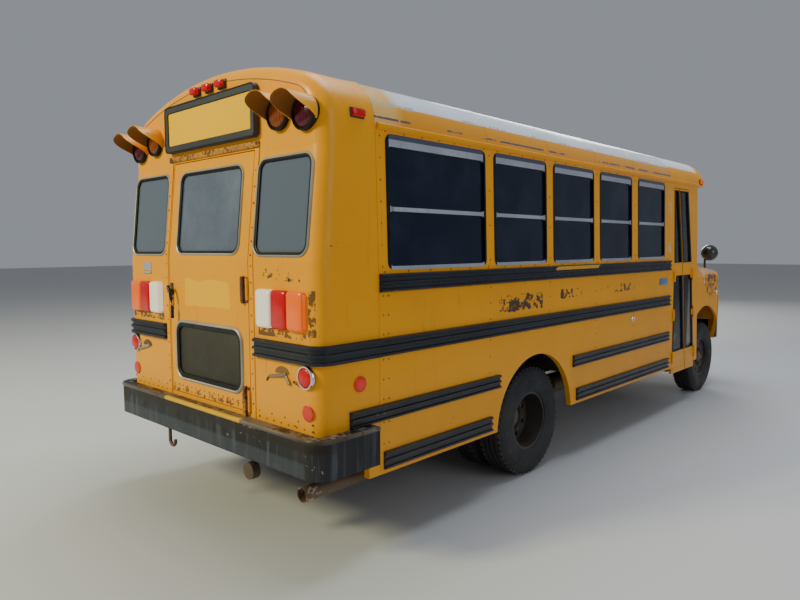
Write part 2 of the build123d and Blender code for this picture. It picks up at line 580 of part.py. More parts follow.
def make_rear_bumper():
    """Wrap-round bumper of pressed channel."""
    outer = bumper_plan(0)
    bumper = outer_prism(outer, BUMPER_LOW, BUMPER_HIGH)
    bumper -= outer_prism(bumper_plan(BUMPER_T), BUMPER_LOW, BUMPER_HIGH)
    bay = BUMPER_HALF - BUMPER_LIP - 30
    for low in (BUMPER_LOW, BUMPER_HIGH - BUMPER_T):
        flange = outer_prism(outer, low, low + BUMPER_T)
        bumper += flange - block(-bay, bay, BUMPER_REAR + BUMPER_LIP, 1000, low - 5, low + BUMPER_T + 5)
    body = BODY_HALF + GAP
    return bumper - block(-body, body, -GAP, 1000, BUMPER_LOW - 10, BUMPER_HIGH + 10)


def bumper_bracket(side, clearance):
    """Bracket from a frame rail to the rear bumper, or the hole that it passes through."""
    c = clearance
    return block(side * (RAIL_X - BRACKET_W - c), side * (RAIL_X + c), BUMPER_REAR + BUMPER_T, RAIL_REAR,
                 BRACKET_LOW - c, BRACKET_HIGH + c)


def make_chassis():
    """Ladder frame: two channel rails joined by cross-members, with outriggers, body sills and brackets."""
    frame = None
    web = RAIL_X - RAIL_T
    for _, side in SIDES:
        outer = block(side * RAIL_X, side * (RAIL_X - RAIL_W), RAIL_REAR, RAIL_FRONT, RAIL_LOW, RAIL_HIGH)
        hollow = block(side * web, side * (RAIL_X - RAIL_W - 5), RAIL_REAR - 5, RAIL_FRONT + 5,
                       RAIL_LOW + RAIL_T, RAIL_HIGH - RAIL_T)
        rail = outer - hollow
        frame = rail if frame is None else frame + rail
    for station in CROSS_STATIONS:
        frame += block(-web, web, station - 35, station + 35, CROSS_LOW, RAIL_HIGH - RAIL_T)
    for _, side in SIDES:
        for s in OUTRIGGERS:
            frame += block(side * RAIL_X, side * (BODY_HALF - WALL - 2), s - 30, s + 30, RAIL_HIGH - 60, RAIL_HIGH)
        frame += bumper_bracket(side, 0)
        frame += block(side * (RAIL_X - RAIL_W), side * RAIL_X, 100, FLOOR_FRONT - 20, RAIL_HIGH, FLOOR_Z - SEAT_GAP)
    return frame + block(RAIL_X, CAB_HALF - WALL - SEAT_GAP, *CAB_OUTRIGGER)


def make_tow_fittings():
    """Tow hook under the left of the bumper and round tow eye under the right frame rail."""
    centre = Pos(HOOK_X, at(HOOK_S), HOOK_Z)
    hook = centre * Rot(90, 0, 0) * Torus(HOOK_R, HOOK_BAR)
    hook -= centre * Pos(0, 0, HOOK_R + HOOK_BAR) * Box(4 * HOOK_R, 4 * HOOK_BAR, 2 * (HOOK_R + HOOK_BAR) - 16)
    foot = BUMPER_LOW - SEAT_GAP
    hook += rod_z(HOOK_BAR, HOOK_X + HOOK_R, HOOK_S, HOOK_Z, foot)
    hook += block(HOOK_X + 10, HOOK_X + 60, HOOK_S - 22, HOOK_S + 22, foot - 8, foot)
    rail = RAIL_LOW - SEAT_GAP
    eye = rod_y(TOW_EYE_R, -5, 45, TOW_EYE_X, TOW_EYE_Z)
    eye += block(TOW_EYE_X - 12, TOW_EYE_X + 12, 25, 45, TOW_EYE_Z, rail)
    eye += block(TOW_EYE_X - 12, TOW_EYE_X + 12, 25, RAIL_REAR + 60, rail - 16, rail)
    return Compound([hook, eye])


def make_floor():
    """Floor plate on sills, with wheel housings over the rear tyres and the well for the steps."""
    inside = BODY_HALF - WALL - 0.5
    floor = block(-inside, inside, WALL + GAP, FLOOR_FRONT, FLOOR_Z, FLOOR_Z + FLOOR_T)
    floor = floor & body_envelope(WALL + SEAT_GAP)
    for _, side in SIDES:
        reach, inner = ARCH_R - 5, DUAL_IN - TYRE_W / 2 - 17
        top = 2 * TYRE_R + HOUSE_CLEAR
        house = block(side * (inner - HOUSE_T), side * inside, REAR_AXLE - reach, REAR_AXLE + reach, FLOOR_Z,
                      top + HOUSE_T)
        reach -= HOUSE_T
        hollow = block(side * inner, side * (inside + 5), REAR_AXLE - reach, REAR_AXLE + reach, FLOOR_Z - 50, top)
        floor = floor + house - hollow
    behind = LEFT_WALL_END - END_PANEL - SEAT_GAP
    around = (FLOOR_FRONT + 10, FLOOR_Z - 135, FLOOR_Z + FLOOR_T + 35)
    floor -= block(CAB_HALF - WALL - GAP, BODY_HALF, behind, *around)
    floor -= block(-BODY_HALF, -540, ENTRY_REAR[0] + 12, *around)
    return floor + steps()


def steps():
    """Entrance steps: two treads and risers as one bent plate."""
    top = FLOOR_Z + FLOOR_T
    outer = -(BODY_HALF - WALL - 5)
    points = ((outer, 385), (-760, 385), (-760, 565), (-521, 565), (-521, top), (-541, top),
              (-541, 585), (-780, 585), (-780, 405), (outer, 405))
    return end_prism(points, ENTRY_REAR[0] + 12, FLOOR_FRONT)


def tyre(x_mid, station):
    """Tyre with rounded shoulders and a bulging side wall."""
    half, shoulder, bead = TYRE_W / 2, 30, 30
    foot = RIM_R + SEAT_GAP
    outline = Polyline((-half + bead, foot), (half - bead, foot), (half - bead, foot + 18), (half - 8, foot + 34))
    outline += ThreePointArc((half - 8, foot + 34), (half, (foot + TYRE_R) / 2), (half - 12, TYRE_R - shoulder))
    outline += ThreePointArc((half - 12, TYRE_R - shoulder), (half - 17, TYRE_R - 10), (half - 35, TYRE_R - 2))
    outline += ThreePointArc((half - 35, TYRE_R - 2), (0, TYRE_R), (-half + 35, TYRE_R - 2))
    outline += ThreePointArc((-half + 35, TYRE_R - 2), (-half + 17, TYRE_R - 10), (-half + 12, TYRE_R - shoulder))
    outline += ThreePointArc((-half + 12, TYRE_R - shoulder), (-half, (foot + TYRE_R) / 2), (-half + 8, foot + 34))
    outline += Polyline((-half + 8, foot + 34), (-half + bead, foot + 18), (-half + bead, foot))
    return Pos(x_mid, at(station), TYRE_CENTRE) * revolve(make_face(outline), Axis.X)


def barrel_section(x):
    """Half section of a rim barrel with its middle at x and a lip at each edge, with radii along Y."""
    half = TYRE_W / 2
    points = ((-half + 22, RIM_R - 14), (half - 22, RIM_R - 14), (half - 22, RIM_R + 14), (half - 29.5, RIM_R + 14),
              (half - 29.5, RIM_R), (-half + 29.5, RIM_R), (-half + 29.5, RIM_R + 14), (-half + 22, RIM_R + 14))
    return make_face(Polyline(*[(x + px, r) for px, r in points], close=True))


def disc_section(way, x_face, x_hub, bore):
    """Half section of a pressed disc, from the barrel at x_face to the hub face at x_hub."""
    t = way * DISC_T
    points = ((x_face, RIM_R - 8), (x_face, 112), (x_hub, 90), (x_hub, bore), (x_hub - t, bore),
              (x_hub - t, 86), (x_face - t, 108), (x_face - t, RIM_R - 8))
    return make_face(Polyline(*points, close=True))


def hub_section(x0, x1, bore, radius):
    """Half section of a hub."""
    return Pos((x0 + x1) / 2, (bore + radius) / 2) * Rectangle(abs(x1 - x0), radius - bore)


def turned_wheel(section):
    """Wheel turned from a half section, with its hand holes."""
    step = 360 / HAND_HOLES
    holes = [Rot(step * (i + 0.5), 0, 0) * Pos(0, 0, 152) * Rot(0, 90, 0) * Cylinder(17, 600)
             for i in range(HAND_HOLES)]
    return revolve(section, Axis.X) - holes


def make_wheels():
    """Front wheels on their knuckles and twin rear wheels."""
    nodes = {"front_left_tyre": tyre(FRONT_TRACK, FRONT_AXLE),
             "rear_left_tyres": Compound([tyre(DUAL_OUT, REAR_AXLE), tyre(DUAL_IN, REAR_AXLE)])}
    front = barrel_section(0) + disc_section(1, 60, 30, 50) + hub_section(-25, 65, SPINDLE_R + SEAT_GAP, 62)
    nodes["front_left_rim"] = Pos(FRONT_TRACK, at(FRONT_AXLE), TYRE_CENTRE) * turned_wheel(front)
    offset = (DUAL_OUT - DUAL_IN) / 2
    pair = hub_section(-75, 75, REAR_SPINDLE_R + SEAT_GAP, 75)
    for way in (1, -1):
        pair += barrel_section(way * offset)
        pair += disc_section(way, way * (offset - 60), way * (DISC_T - 0.5), 60)
    nodes["rear_left_rims"] = Pos((DUAL_OUT + DUAL_IN) / 2, at(REAR_AXLE), TYRE_CENTRE) * turned_wheel(pair)
    for node in list(nodes):
        nodes[node.replace("left", "right")] = mirror(nodes[node], about=Plane.YZ)
    return nodes


def make_running_gear():
    """Rear axle and springs, front axle beam, knuckles, engine, tank, exhaust and drive shaft."""
    nodes = {}
    middle = (DUAL_OUT + DUAL_IN) / 2
    axle = rod_x(AXLE_R, -middle + 85, middle - 85, REAR_AXLE, TYRE_CENTRE)
    axle += rod_x(REAR_SPINDLE_R, -middle - 60, middle + 60, REAR_AXLE, TYRE_CENTRE)
    axle += Pos(0, at(REAR_AXLE), TYRE_CENTRE) * Sphere(140)
    axle += rod_y(35, REAR_AXLE, REAR_AXLE + 200, 0, TYRE_CENTRE)
    nodes["rear_axle"] = axle
    springs = []
    for _, side in SIDES:
        x0, x1 = side * 440, side * 500
        low = TYRE_CENTRE + AXLE_R + SEAT_GAP
        leaf = side_prism(((REAR_AXLE - 620, 560), (REAR_AXLE - 300, low + 10), (REAR_AXLE, low),
                           (REAR_AXLE + 300, low + 10), (REAR_AXLE + 620, 560), (REAR_AXLE + 620, 580),
                           (REAR_AXLE + 300, low + 50), (REAR_AXLE, low + 50), (REAR_AXLE - 300, low + 50),
                           (REAR_AXLE - 620, 580)), x0, x1)
        for s in (REAR_AXLE - 610, REAR_AXLE + 610):
            leaf += block(side * (RAIL_X + 0.3), side * 500, s - 30, s + 30, 560, 640)
        springs.append(leaf)
    nodes["leaf_springs"] = Compound(springs)
    z = TYRE_CENTRE
    beam = block(-KINGPIN_X + 40, KINGPIN_X - 40, FRONT_AXLE - 40, FRONT_AXLE + 40, z - 98, z - 38)
    for _, side in SIDES:
        beam += rod_z(STEER_PIN_R, side * KINGPIN_X, FRONT_AXLE, z - 108, z + 82)
        beam += block(side * (KINGPIN_X - 60), side * (KINGPIN_X + 28), FRONT_AXLE - 28, FRONT_AXLE + 28,
                      z - 98, z - 78)
        beam += rod_z(45, side * 480, FRONT_AXLE, z - 38, 700)
        beam += block(side * (RAIL_X + SEAT_GAP), side * 530, FRONT_AXLE - 60, FRONT_AXLE + 60, 620, 700)
    nodes["front_axle"] = beam
    for name, side in SIDES:
        knuckle = rod_z(30, side * KINGPIN_X, FRONT_AXLE, z - 76, z + 72)
        knuckle += rod_x(SPINDLE_R, side * KINGPIN_X, side * (FRONT_TRACK + 70), FRONT_AXLE, z)
        knuckle += block(side * (KINGPIN_X - 10), side * (KINGPIN_X + 20), FRONT_AXLE - 60, FRONT_AXLE + 60,
                         z - 48, z + 42)
        knuckle -= rod_z(STEER_PIN_R + SEAT_GAP, side * KINGPIN_X, FRONT_AXLE, z - 148, z + 102)
        nodes[name + "_knuckle"] = knuckle
    gearbox_rear, gearbox_z = 4950, 510
    web = RAIL_X - RAIL_T - SEAT_GAP
    nodes["engine_block"] = (block(-240, 240, 5430, 6110, 440, 940) + block(-web, web, 5700, 5780, 600, 660)
                             + block(-130, 130, gearbox_rear, 5430, 440, CROSS_LOW - SEAT_GAP))
    tank = block(-330, 330, 330, 1100, 420, CROSS_LOW - SEAT_GAP)
    nodes["fuel_tank"] = fillet(tank.edges().filter_by(Axis.Y), 30)
    rear_end, front_end = REAR_AXLE + 200 + SEAT_GAP, gearbox_rear - SEAT_GAP
    length = math.hypot(front_end - rear_end, gearbox_z - TYRE_CENTRE)
    slope = math.degrees(math.atan2(gearbox_z - TYRE_CENTRE, front_end - rear_end))
    middle = Pos(0, at((rear_end + front_end) / 2), (gearbox_z + TYRE_CENTRE) / 2)
    shaft = middle * Rot(90 - slope, 0, 0) * Cylinder(32, length + 20)
    nodes["drive_shaft"] = shaft & block(-50, 50, rear_end, front_end, 300, 700)
    return nodes


def make_exhaust():
    """Muffler and tail pipe, whose open end is at the right rear corner."""
    x, z = PIPE_X, PIPE_Z
    over = TYRE_CENTRE + AXLE_R + PIPE_R + 15
    route = ((x, PIPE_END, z), (x, 1250, z + 10), (-250, 1450, 450), (-250, 1700, over), (-250, 2350, over),
             (-250, 2600, 455), (MUFFLER_X, 2800, 455), (MUFFLER_X, MUFFLER[0] + 50, MUFFLER_Z))
    path = FilletPolyline(*[(px, at(s), pz) for px, s, pz in route], radius=110)
    pipe = sweep(Plane(origin=path @ 0, z_dir=path % 0) * Circle(PIPE_R), path=path)
    pipe += rod_y(MUFFLER_R, *MUFFLER, MUFFLER_X, MUFFLER_Z)
    pipe -= rod_y(PIPE_R - PIPE_WALL, PIPE_END - 10, PIPE_END + PIPE_BORE, x, z)
    hanger_top = RAIL_HIGH - 60 - SEAT_GAP
    for s in OUTRIGGERS[:2]:
        pipe += rod_z(6, x, s, z + PIPE_R - PIPE_WALL, hanger_top)
    pipe += rod_z(6, MUFFLER_X, OUTRIGGERS[2], MUFFLER_Z + 20, hanger_top)
    return pipe


def cab_profile(inset, low, rear, top):
    """Side view of the van's cab: upright at the back, then the windscreen and the cowl."""
    screen_top = SCREEN_TOP_S - inset * 1.25
    return ((rear, low), (FIREWALL - inset, low), (FIREWALL - inset, COWL_LOW), (COWL_FRONT - inset, COWL_LOW),
            (COWL_FRONT - inset, COWL_Z), (screen_top, SCREEN_TOP_Z - inset), (screen_top, top), (rear, top))


def cab_form(inset, low, rear, top):
    """Form of the cab drawn in by inset: upright sides, leaning in above the belt."""
    left = [(CAB_HALF - inset, low)] + [(cab_side(z) - inset, z) for z in (BELT_Z, COWL_Z, top)]
    section = left + [(-x, z) for x, z in reversed(left)]
    profile = cab_profile(inset, low, rear, top)
    return side_prism(profile, -CAB_HALF, CAB_HALF) & end_prism(section, rear, COWL_FRONT)


def cab_side_slab(depth, thickness, s0, s1):
    """Slab that follows the leaning side of the cab over the belt, depth inside its face."""
    outer = [(cab_side(z) - depth, z) for z in (COWL_Z, CAB_TOP)]
    inner = [(x - thickness, z) for x, z in reversed(outer)]
    return end_prism(outer + inner, s0, s1)


def make_cab():
    """Cab shell with the driver's door opening and the windscreen opening, the door, and the glass."""
    shell = cab_form(0, CAB_LOW, CAB_REAR, CAB_TOP) - cab_form(WALL, CAB_LOW - 50, CAB_REAR - 50, CAB_TOP + 50)
    shell -= block(-CAB_HALF - 50, -FACE_HALF, CAB_REAR - 100, CAB_RIGHT_REAR, CAB_LOW - 50, CAB_TOP + 50)
    shell -= block(-RAIL_X - 20, RAIL_X + 20, CAB_REAR - 100, COWL_FRONT + 50, CAB_LOW - 50, FLOOR_Z + FLOOR_T)
    for _, side in SIDES:
        shell -= arch(FRONT_AXLE, FRONT_ARCH_Z, FRONT_ARCH_R, 520, side)
    s0, s1, z0, z1 = CAB_DOOR
    reach = (CAB_HALF - 350, CAB_HALF + 50)
    door = shell & block(*reach, s0 + GAP, s1 - GAP, z0 + GAP, z1 - GAP)
    shell -= block(*reach, s0, s1, z0, z1)
    pane = side_prism(((4650, 1470), (5262, 1470), (5235, 1545), (5200, 2120), (4650, 2120)), *reach)
    door -= pane
    door_glass = pane & cab_side_slab(12, GLASS, s0, s1)
    opening = ((-840, 1480), (840, 1480), (765, 2140), (-765, 2140))
    screen_hole = end_prism(opening, SCREEN_TOP_S - 70, COWL_FRONT + 50)
    front, top = COWL_FRONT - 12, SCREEN_TOP_S - 12
    screen = screen_hole & side_prism(((front, COWL_Z), (top, SCREEN_TOP_Z), (top - GLASS * 1.1, SCREEN_TOP_Z),
                                       (front - GLASS * 1.1, COWL_Z)), -CAB_HALF, CAB_HALF)
    shell -= screen_hole
    fixed_hinges, door_hinges = driver_door_hinges()
    return {"cab_shell": shell + fixed_hinges, "driver_door": door + door_hinges, "driver_door_glass": door_glass,
            "windscreen": screen}


def front_form(inset):
    """Outer form of the van's front end, or that form drawn in by inset."""
    half, low = CAB_HALF - inset, CAB_LOW if inset == 0 else CAB_LOW - 60
    nose = NOSE - inset
    side_view = side_prism(((5410, low), (nose, low), (nose, 1150), (nose - 60, 1290 - inset),
                            (nose - 200, 1390 - inset), (5706, 1460 - inset), (5410, 1460 - inset)), -half, half)
    outline = Polyline((half, at(NOSE - 260)), (half, at(5300)), (-half, at(5300)), (-half, at(NOSE - 260)))
    outline += Line((-half + 240, at(nose)), (half - 240, at(nose)))
    for side in (1, -1):
        outline += ThreePointArc((side * half, at(NOSE - 260)), (side * (half - 60), at(nose - 80)),
                                 (side * (half - 240), at(nose)))
    section = end_prism(((-half, 400), (half, 400), (half, BELT_Z), (half - 90, COWL_Z - inset),
                         (HOOD_HALF, 1500 - inset), (-HOOD_HALF, 1500 - inset), (-half + 90, COWL_Z - inset),
                         (-half, BELT_Z)), 5200, 6600)
    return side_view & outer_prism(make_face(outline), 400, 1600) & section


def make_front_end():
    """Fenders with the radiator support, hood, grille, lamps and bumper."""
    shell = front_form(0) - front_form(FENDER_T)
    hood = shell & block(-HOOD_HALF + GAP, HOOD_HALF - GAP, HOOD_REAR + GAP, NOSE + 10, HOOD_LOW + GAP, 1600)
    fenders = shell - block(-HOOD_HALF, HOOD_HALF, 5200, NOSE + 20, HOOD_LOW, 1700)
    cab = cab_profile(-SEAT_GAP, CAB_LOW - 160, CAB_REAR, CAB_TOP)
    fenders -= side_prism(cab, -CAB_HALF - 10, CAB_HALF + 10)
    for _, side in SIDES:
        fenders -= arch(FRONT_AXLE, FRONT_ARCH_Z, FRONT_ARCH_R, 520, side)
        fenders -= block(side * 790, side * (CAB_HALF + 20), 5300, FIREWALL + 6, 300, 1600)
    fenders += block(-CAB_HALF + 5, CAB_HALF - 5, RADIATOR, RADIATOR + 15, 800, FACE_HIGH)
    for _, side in SIDES:
        fenders += block(side * (RAIL_X - 60), side * RAIL_X, RADIATOR, RADIATOR + 15, RAIL_HIGH + SEAT_GAP, 820)
        fenders += rod_z(14, side * 450, RADIATOR + 8, 1100, 1500) & front_form(FENDER_T + SEAT_GAP)
    fenders -= block(-FACE_HALF, FACE_HALF, NOSE - 100, NOSE + 50, FACE_LOW, FACE_HIGH)
    fenders -= block(-CAB_HALF - 10, CAB_HALF + 10, NOSE - 60, NOSE + 100, 500, 800)
    half, low, high = FACE_HALF - SEAT_GAP, FACE_LOW + SEAT_GAP, FACE_HIGH - SEAT_GAP
    grille = block(-half, half, NOSE - 60, NOSE - 20, low, high)
    for i in range(GRILLE_SLOTS):
        z = FACE_LOW + 30 + i * SLOT_PITCH
        grille -= block(-SLOT_HALF, SLOT_HALF, NOSE - 50, NOSE + 5, z, z + SLOT_H)
    lamps = []
    for _, side in SIDES:
        grille -= block(side * LAMP_IN, side * FACE_HALF, NOSE - 70, NOSE, LAMP_LOW, FACE_HIGH)
        lamps.append(block(side * (LAMP_IN + SEAT_GAP), side * half, NOSE - 60, NOSE - 15, LAMP_LOW + SEAT_GAP, high))
    bumper = block(-930, 930, BUMPER_FRONT - 55, BUMPER_FRONT, 560, 780)
    bumper -= block(-900, 900, BUMPER_FRONT - 60, BUMPER_FRONT - 8, 575, 765)
    for _, side in SIDES:
        bumper += block(side * 350, side * RAIL_X, RAIL_FRONT + SEAT_GAP, BUMPER_FRONT - 5, 570, 660)
    return {"front_fenders": fenders, "hood": hood, "grille": grille, "headlamps": Compound(lamps),
            "front_bumper": bumper}


def make_lamps():
    """Warning lamps with visors at both ends, tail lamps, the blank sign and the clearance lamps."""
    warning, tail, markers = [], [], []
    for _, side in SIDES:
        for x, z in WARNING_LAMPS:
            warning += warning_lamp(side * x, z, REAR_LEAN, -1)
            warning += warning_lamp(side * x * FRONT_LAMP_SHARE, z + FRONT_LAMP_UP, CAP_FRONT, 1)
        for i in range(3):
            x0 = TAIL_X + i * TAIL_PITCH
            tail.append(round_end(side * x0, side * (x0 + TAIL_W), TAIL_LOW, TAIL_HIGH, 20, -TAIL_DEPTH, -SEAT_GAP))
        x, z, radius = ROUND_LAMP
        tail.append(rod_y(radius, -TAIL_DEPTH + 2, -SEAT_GAP, side * x, z))
        x = BODY_HALF - SIDE_LEAN * (DRIP_Z - SILL_Z) - 30
        for s in MARKERS:
            whole = block(side * x, side * (x + 30 + MARKER_DEPTH), s - MARKER_HALF, s + MARKER_HALF,
                          MARKER_LOW, MARKER_HIGH)
            markers.append(whole - body_envelope(-SEAT_GAP))
    for x in CLEARANCE_X:
        for wall, way in ((REAR_LEAN, -1), (CAP_FRONT, 1)):
            markers.append(round_end(x - CLEARANCE_HALF, x + CLEARANCE_HALF, CLEARANCE_LOW, CLEARANCE_HIGH, 12,
                                     wall + way * SEAT_GAP, wall + way * CLEARANCE_DEPTH))
    return {"warning_lamps": Compound(warning), "tail_lamps": Compound(tail), "clearance_lamps": Compound(markers),
            "rear_sign": make_sign()}


def warning_lamp(x, z, wall, way):
    """Round lamp on an end wall and the visor round it; way is -1 at the rear and 1 at the front."""
    foot = wall + way * SEAT_GAP
    lamp = rod_y(LAMP_R, foot, wall + way * LAMP_DEPTH, x, z)
    inner = LAMP_R + SEAT_GAP
    tip = wall + way * VISOR
    tube = rod_y(inner + VISOR_T, foot, tip, x, z) - rod_y(inner, foot - way * 5, tip + way * 5, x, z)
    kept = side_prism(((foot, z + VISOR_LOW), (tip, z + VISOR_TIP), (tip, z + 2 * LAMP_R), (foot, z + 2 * LAMP_R)),
                      x - 2 * LAMP_R, x + 2 * LAMP_R)
    return [lamp, tube & kept]


def make_sign():
    """Blank panel in a raised frame over the rear door."""
    rear = REAR_LEAN - SIGN_DEPTH
    sign = round_end(-SIGN_HALF, SIGN_HALF, SIGN_LOW, SIGN_HIGH, SIGN_R, rear, REAR_LEAN - SEAT_GAP)
    half = SIGN_HALF - SIGN_EDGE
    return sign - round_end(-half, half, SIGN_LOW + SIGN_EDGE, SIGN_HIGH - SIGN_EDGE, SIGN_R / 2, rear - 5,
                            rear + SIGN_RECESS)


def make_seats():
    """Bench seats in rows on both sides of the aisle, and the driver's seat."""
    cushions, frames = [], []
    base = FLOOR_Z + FLOOR_T + SEAT_GAP
    tube_low, tube_high = CUSHION_Z - SEAT_TUBE - SEAT_GAP, CUSHION_Z - SEAT_GAP
    for _, side in SIDES:
        x0, x1 = side * BENCH_IN, side * BENCH_OUT
        leg = (side * (BENCH_IN + LEG_IN), side * (BENCH_IN + LEG_IN + 30))
        for row in range(SEAT_ROWS):
            s = SEAT_FIRST + row * SEAT_PITCH
            front = s + 6 + CUSHION_L
            cushions.append(round_side(s + 6, front, CUSHION_Z, CUSHION_Z + CUSHION_T, SEAT_EDGE, x0, x1))
            cushions.append(round_side(s - BACK_T, s, CUSHION_Z + 20, BACK_TOP, SEAT_EDGE, x0, x1))
            frame = block(x0 + side * 20, x1, s - 40, s + CUSHION_L - 40, tube_low, tube_high)
            for leg_s in SEAT_LEGS:
                frame += block(*leg, s + leg_s, s + leg_s + 30, base, tube_low + 5)
            frame += block(*leg, s - 40, s - 30, tube_high - 20, CUSHION_Z + 20 - SEAT_GAP)
            frame += block(x1, side * (BODY_HALF - WALL - SEAT_GAP), s + 60, s + 310, tube_low, tube_high)
            frames.append(frame)
    for x0, x1, s0, s1, z0, z1 in (DRIVER_SEAT, DRIVER_BACK):
        cushions.append(round_side(s0, s1, z0, z1, SEAT_EDGE, x0, x1))
    top = DRIVER_SEAT[4] - SEAT_GAP
    stand = block(300, 660, 4800, 5200, base, top) + block(300, 660, 4690, 4810, top - 50, top)
    frames.append(stand + block(300, 660, 4690, 4740, top - 50, DRIVER_BACK[4] - SEAT_GAP))
    return {"seats": Compound(cushions), "seat_frames": Compound(frames)}


def make_dashboard():
    """Dashboard under the windscreen and the steering wheel on its column."""
    dash = block(-CAB_HALF, CAB_HALF, DASH_REAR, COWL_FRONT, DASH_LOW, DASH_HIGH)
    dash = dash & cab_form(WALL + SEAT_GAP, CAB_LOW, CAB_REAR, CAB_TOP)
    x, station, z = STEERING
    centre = Pos(x, at(station), z) * Rot(STEERING_TILT, 0, 0)
    wheel = centre * Torus(STEERING_R, STEERING_RIM)
    wheel += centre * Box(2 * STEERING_R - 10, 40, 14) + centre * Cylinder(60, 30)
    column = centre * Pos(0, 0, -95) * Cylinder(COLUMN_R, 170)
    dash -= centre * Pos(0, 0, -150) * Cylinder(COLUMN_R + SEAT_GAP, 400)
    return {"dashboard": dash, "steering_wheel": wheel + column}


def make_stop_arm():
    """Blank octagonal stop arm that swings out from the left wall, on its bracket."""
    s, z = STOP_HINGE, STOP_Z
    out = BODY_HALF + RAIL_OUT + 14
    pin_x = out + STOP_T / 2
    disc = Rot(0, 90, 0) * Rot(0, 0, 22.5) * extrude(RegularPolygon(STOP_R, 8), amount=STOP_T)
    arm = Pos(out, at(s - STOP_REACH), z) * disc
    arm += block(out, out + STOP_T, s - STOP_REACH + 150, s + 8, z - 60, z + 60)
    arm += rod_z(14, pin_x, s, z - 95, z + 95)
    arm -= rod_z(STOP_PIN_R + SEAT_GAP, pin_x, s, z - 140, z + 140)
    bracket = rod_z(STOP_PIN_R, pin_x, s, z - 112, z + 112)
    for low in (z + 96, z - 112):
        bracket += block(BODY_HALF + 7, out + STOP_T, s - 12, s + 12, low, low + 16)
    bracket += block(BODY_HALF + SEAT_GAP, BODY_HALF + 8, s - 30, s + 30, z - 118, z + 118)
    return {"stop_arm": arm, "stop_arm_bracket": bracket}


def make_mirrors():
    """Cross-view mirrors on the front fenders and a rear-view mirror on the driver's side of the cab."""
    pieces = []
    for _, side in SIDES:
        bowl = Pos(side * BOWL_X, at(BOWL_S), BOWL_Z) * Sphere(BOWL_R)
        bowl = bowl & block(side * 800, side * 1060, BOWL_S - 150, BOWL_S + 5, BOWL_Z - 120, BOWL_Z + 120)
        pieces.append(rod_z(12, side * (BOWL_X - 40), BOWL_S - 30, 1418, BOWL_Z - 40) + bowl)
    x0, x1 = MIRROR_X
    middle = (x0 + x1) / 2
    head = round_end(x0, x1, MIRROR_LOW, MIRROR_HIGH, 25, MIRROR_S - 20, MIRROR_S + 20)
    low, high = MIRROR_LOW - 110, MIRROR_HIGH + 30
    stay = rod_z(9, middle, MIRROR_S, low, high) + rod_x(9, cab_side(low) + SEAT_GAP, middle + 9, MIRROR_S, low)
    pieces.append(head + stay + rod_x(9, cab_side(high - 9) + SEAT_GAP, middle + 9, MIRROR_S, high))
    return Compound(pieces)


def write_all():
    """Build every node and write one STEP file each."""
    os.makedirs("parts", exist_ok=True)
    skin = body_skin()
    nodes = {}
    nodes.update(make_side_walls(skin))
    nodes["rear_wall"] = make_rear_wall(skin)
    nodes.update(make_roof(skin))
    frames, panes = make_side_windows()
    rear_panes = make_rear_windows()
    nodes["side_window_frames"] = Compound(frames)
    cab = make_cab()
    nodes["window_glass"] = Compound(panes + rear_panes + [cab.pop("windscreen")])
    nodes.update(make_rear_door(skin))
    nodes.update(make_entrance())
    nodes["rub_rails"] = Compound(make_rub_rails())
    nodes["rear_bumper"] = make_rear_bumper()
    nodes["chassis_frame"] = make_chassis()
    nodes["tow_fittings"] = make_tow_fittings()
    nodes["floor"] = make_floor()
    nodes.update(make_wheels())
    nodes.update(make_running_gear())
    nodes["exhaust"] = make_exhaust()
    nodes.update(cab)
    nodes.update(make_front_end())
    nodes.update(make_lamps())
    nodes.update(make_seats())
    nodes.update(make_dashboard())
    nodes.update(make_stop_arm())
    nodes["mirrors"] = make_mirrors()
    for name, shape in nodes.items():
        solids = shape.solids()
        export_step(solids[0] if len(solids) == 1 else Compound(solids), "parts/" + name + ".step")


write_all()
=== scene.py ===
"""Short school bus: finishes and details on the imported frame, seen from the rear right.

Metres, +Z up, the front faces -Y and +X is the driver's side. A station is the distance forward of the rear wall.
"""
import logging
import math
from collections.abc import Callable, Iterable, Sequence
from dataclasses import dataclass, field
from enum import Enum
from typing import Any

import bmesh
import bpy
from mathutils import Matrix, Vector
from mathutils.bvhtree import BVHTree


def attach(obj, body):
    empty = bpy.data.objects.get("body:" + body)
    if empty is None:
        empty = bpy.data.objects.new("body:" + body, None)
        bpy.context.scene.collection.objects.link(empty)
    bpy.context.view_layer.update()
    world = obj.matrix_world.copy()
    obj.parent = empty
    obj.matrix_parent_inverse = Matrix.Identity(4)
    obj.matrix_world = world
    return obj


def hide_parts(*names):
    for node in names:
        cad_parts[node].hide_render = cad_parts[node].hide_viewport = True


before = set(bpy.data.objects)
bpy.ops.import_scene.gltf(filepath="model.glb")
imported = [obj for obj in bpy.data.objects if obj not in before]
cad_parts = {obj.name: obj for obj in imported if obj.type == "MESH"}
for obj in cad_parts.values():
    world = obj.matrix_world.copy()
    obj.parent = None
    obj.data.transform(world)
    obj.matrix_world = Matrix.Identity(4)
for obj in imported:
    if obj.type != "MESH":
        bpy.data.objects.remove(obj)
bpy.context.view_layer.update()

log = logging.getLogger("school_bus")
Colour = tuple[float, float, float]
Point = tuple[float, float, float]
Pairs = Sequence[tuple[float, float]]
Socket = bpy.types.NodeSocket

SIDES = (1, -1)             # the driver's side and the kerb side
REARWARD = (0, 1, 0)

